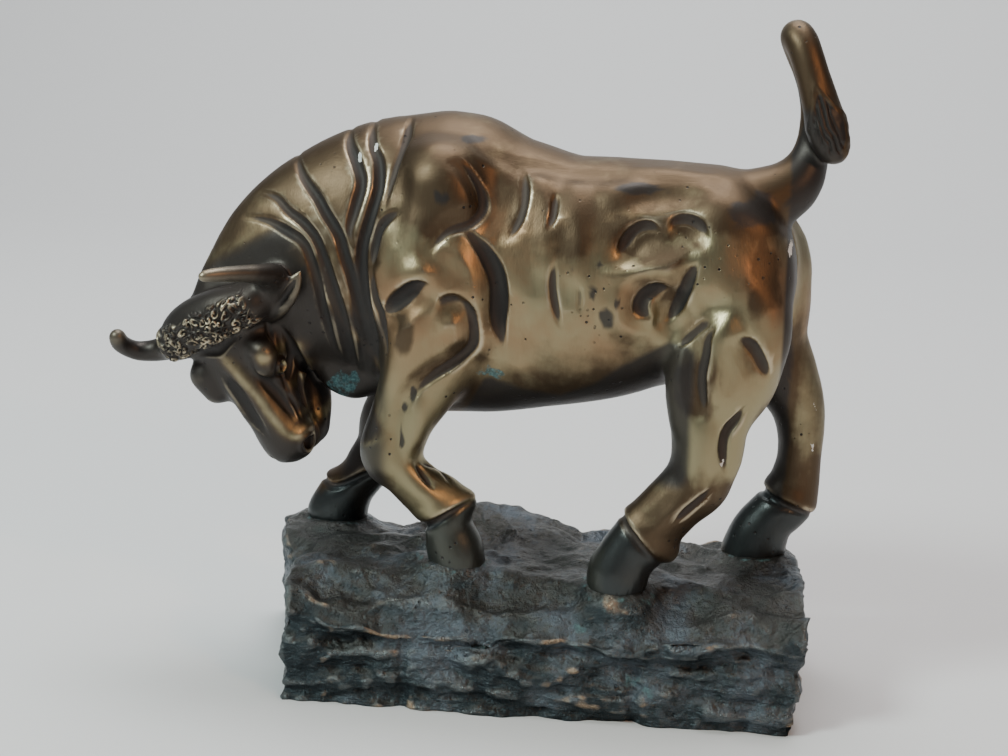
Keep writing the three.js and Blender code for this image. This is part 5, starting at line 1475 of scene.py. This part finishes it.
def lay_floor():
    """A pale floor that sweeps up into a plain backdrop, well behind where any view is taken from."""
    deselect_all()
    bpy.ops.mesh.primitive_plane_add(size=1)
    floor = bpy.context.object
    floor.name = "floor"
    corners = points_of(floor) * MM
    corners[:, 0] *= 9
    corners[:, 1] = np.where(corners[:, 1] > 0, SWEEP_Y, -4)
    move_points(floor, corners / MM)
    bpy.ops.object.mode_set(mode="EDIT")
    bpy.ops.mesh.select_mode(type="EDGE")
    bpy.ops.mesh.select_all(action="DESELECT")
    bpy.ops.object.mode_set(mode="OBJECT")
    for edge in floor.data.edges:
        edge.select = all(floor.data.vertices[v].co.y > 1 for v in edge.vertices)
    bpy.ops.object.mode_set(mode="EDIT")
    bpy.ops.mesh.extrude_region_move(TRANSFORM_OT_translate={"value": (0, 0, 4)})
    bpy.ops.mesh.select_all(action="DESELECT")
    bpy.ops.object.mode_set(mode="OBJECT")
    for edge in floor.data.edges:
        ends = [floor.data.vertices[v].co for v in edge.vertices]
        edge.select = all(end.y > 1 and end.z < 1 for end in ends)
    bpy.ops.object.mode_set(mode="EDIT")
    bpy.ops.mesh.bevel(offset=0.9, segments=16)
    bpy.ops.object.mode_set(mode="OBJECT")
    bpy.ops.object.shade_smooth()
    material, _, shader = new_finish("pale_floor")
    shader.inputs["Base Color"].default_value = FLOOR_PALE
    shader.inputs["Roughness"].default_value = 0.75
    floor.data.materials.append(material)


def soft_light(name, place, target, size, watts, colour):
    light = bpy.data.lights.new(name, "AREA")
    light.shape = "DISK"
    light.size, light.energy, light.color = size, watts, colour
    lamp = bpy.data.objects.new(name, light)
    lamp.location = place
    lamp.rotation_euler = (Vector(target) - Vector(place)).to_track_quat("-Z", "Y").to_euler()
    bpy.context.collection.objects.link(lamp)


def light_the_studio():
    world = bpy.data.worlds.new("studio")
    world.use_nodes = True
    world.node_tree.nodes["Background"].inputs["Color"].default_value = (0.72, 0.77, 0.85, 1)
    world.node_tree.nodes["Background"].inputs["Strength"].default_value = 0.16
    bpy.context.scene.world = world
    middle = (-0.02, 0.0, 0.16)
    soft_light("window", (-1.0, -0.75, 1.15), middle, 0.45, 20, (0.86, 1.0, 0.95))
    soft_light("lamp", (0.95, -0.9, 0.8), middle, 0.12, 4.6, (1.0, 0.52, 0.26))
    soft_light("ceiling", (0.1, 0.5, 2.6), (0.1, 0.9, 0), 2.2, 50, (1.0, 0.98, 0.95))
    soft_light("backdrop", (0.0, 0.6, 2.3), (0.0, SWEEP_Y, 0.7), 1.2, 26, (0.97, 0.98, 1.0))


def set_camera():
    yaw, pitch, roll = radians(CAMERA_YAW), radians(CAMERA_PITCH), radians(CAMERA_ROLL)
    onward = Vector((-sin(yaw) * cos(pitch), cos(yaw) * cos(pitch), -sin(pitch)))
    level = Vector((cos(yaw), sin(yaw), 0))
    above = level.cross(onward)
    right = level * cos(roll) + above * sin(roll)
    up = above * cos(roll) - level * sin(roll)
    camera = bpy.data.objects.new("camera", bpy.data.cameras.new("camera"))
    camera.data.sensor_width = SENSOR_WIDTH
    camera.data.lens = SENSOR_WIDTH * FOCAL_PIXELS / IMAGE_WIDTH
    turn = Matrix((right, up, -onward)).transposed().to_4x4()
    camera.matrix_world = Matrix.Translation(CAMERA_PLACE) @ turn
    bpy.context.collection.objects.link(camera)
    bpy.context.scene.camera = camera


bull_piece = make_bull(*bull_body())
tone_bull(bull_piece)
rock_piece = make_rock()
shared = (casting_pits(), verdigris(), worn_edges())
dress_casting(bull_piece, "bull", bull_brass(*shared))
dress_casting(rock_piece, "rock_base", rock_bronze(*shared))
lay_floor()
light_the_studio()
set_camera()
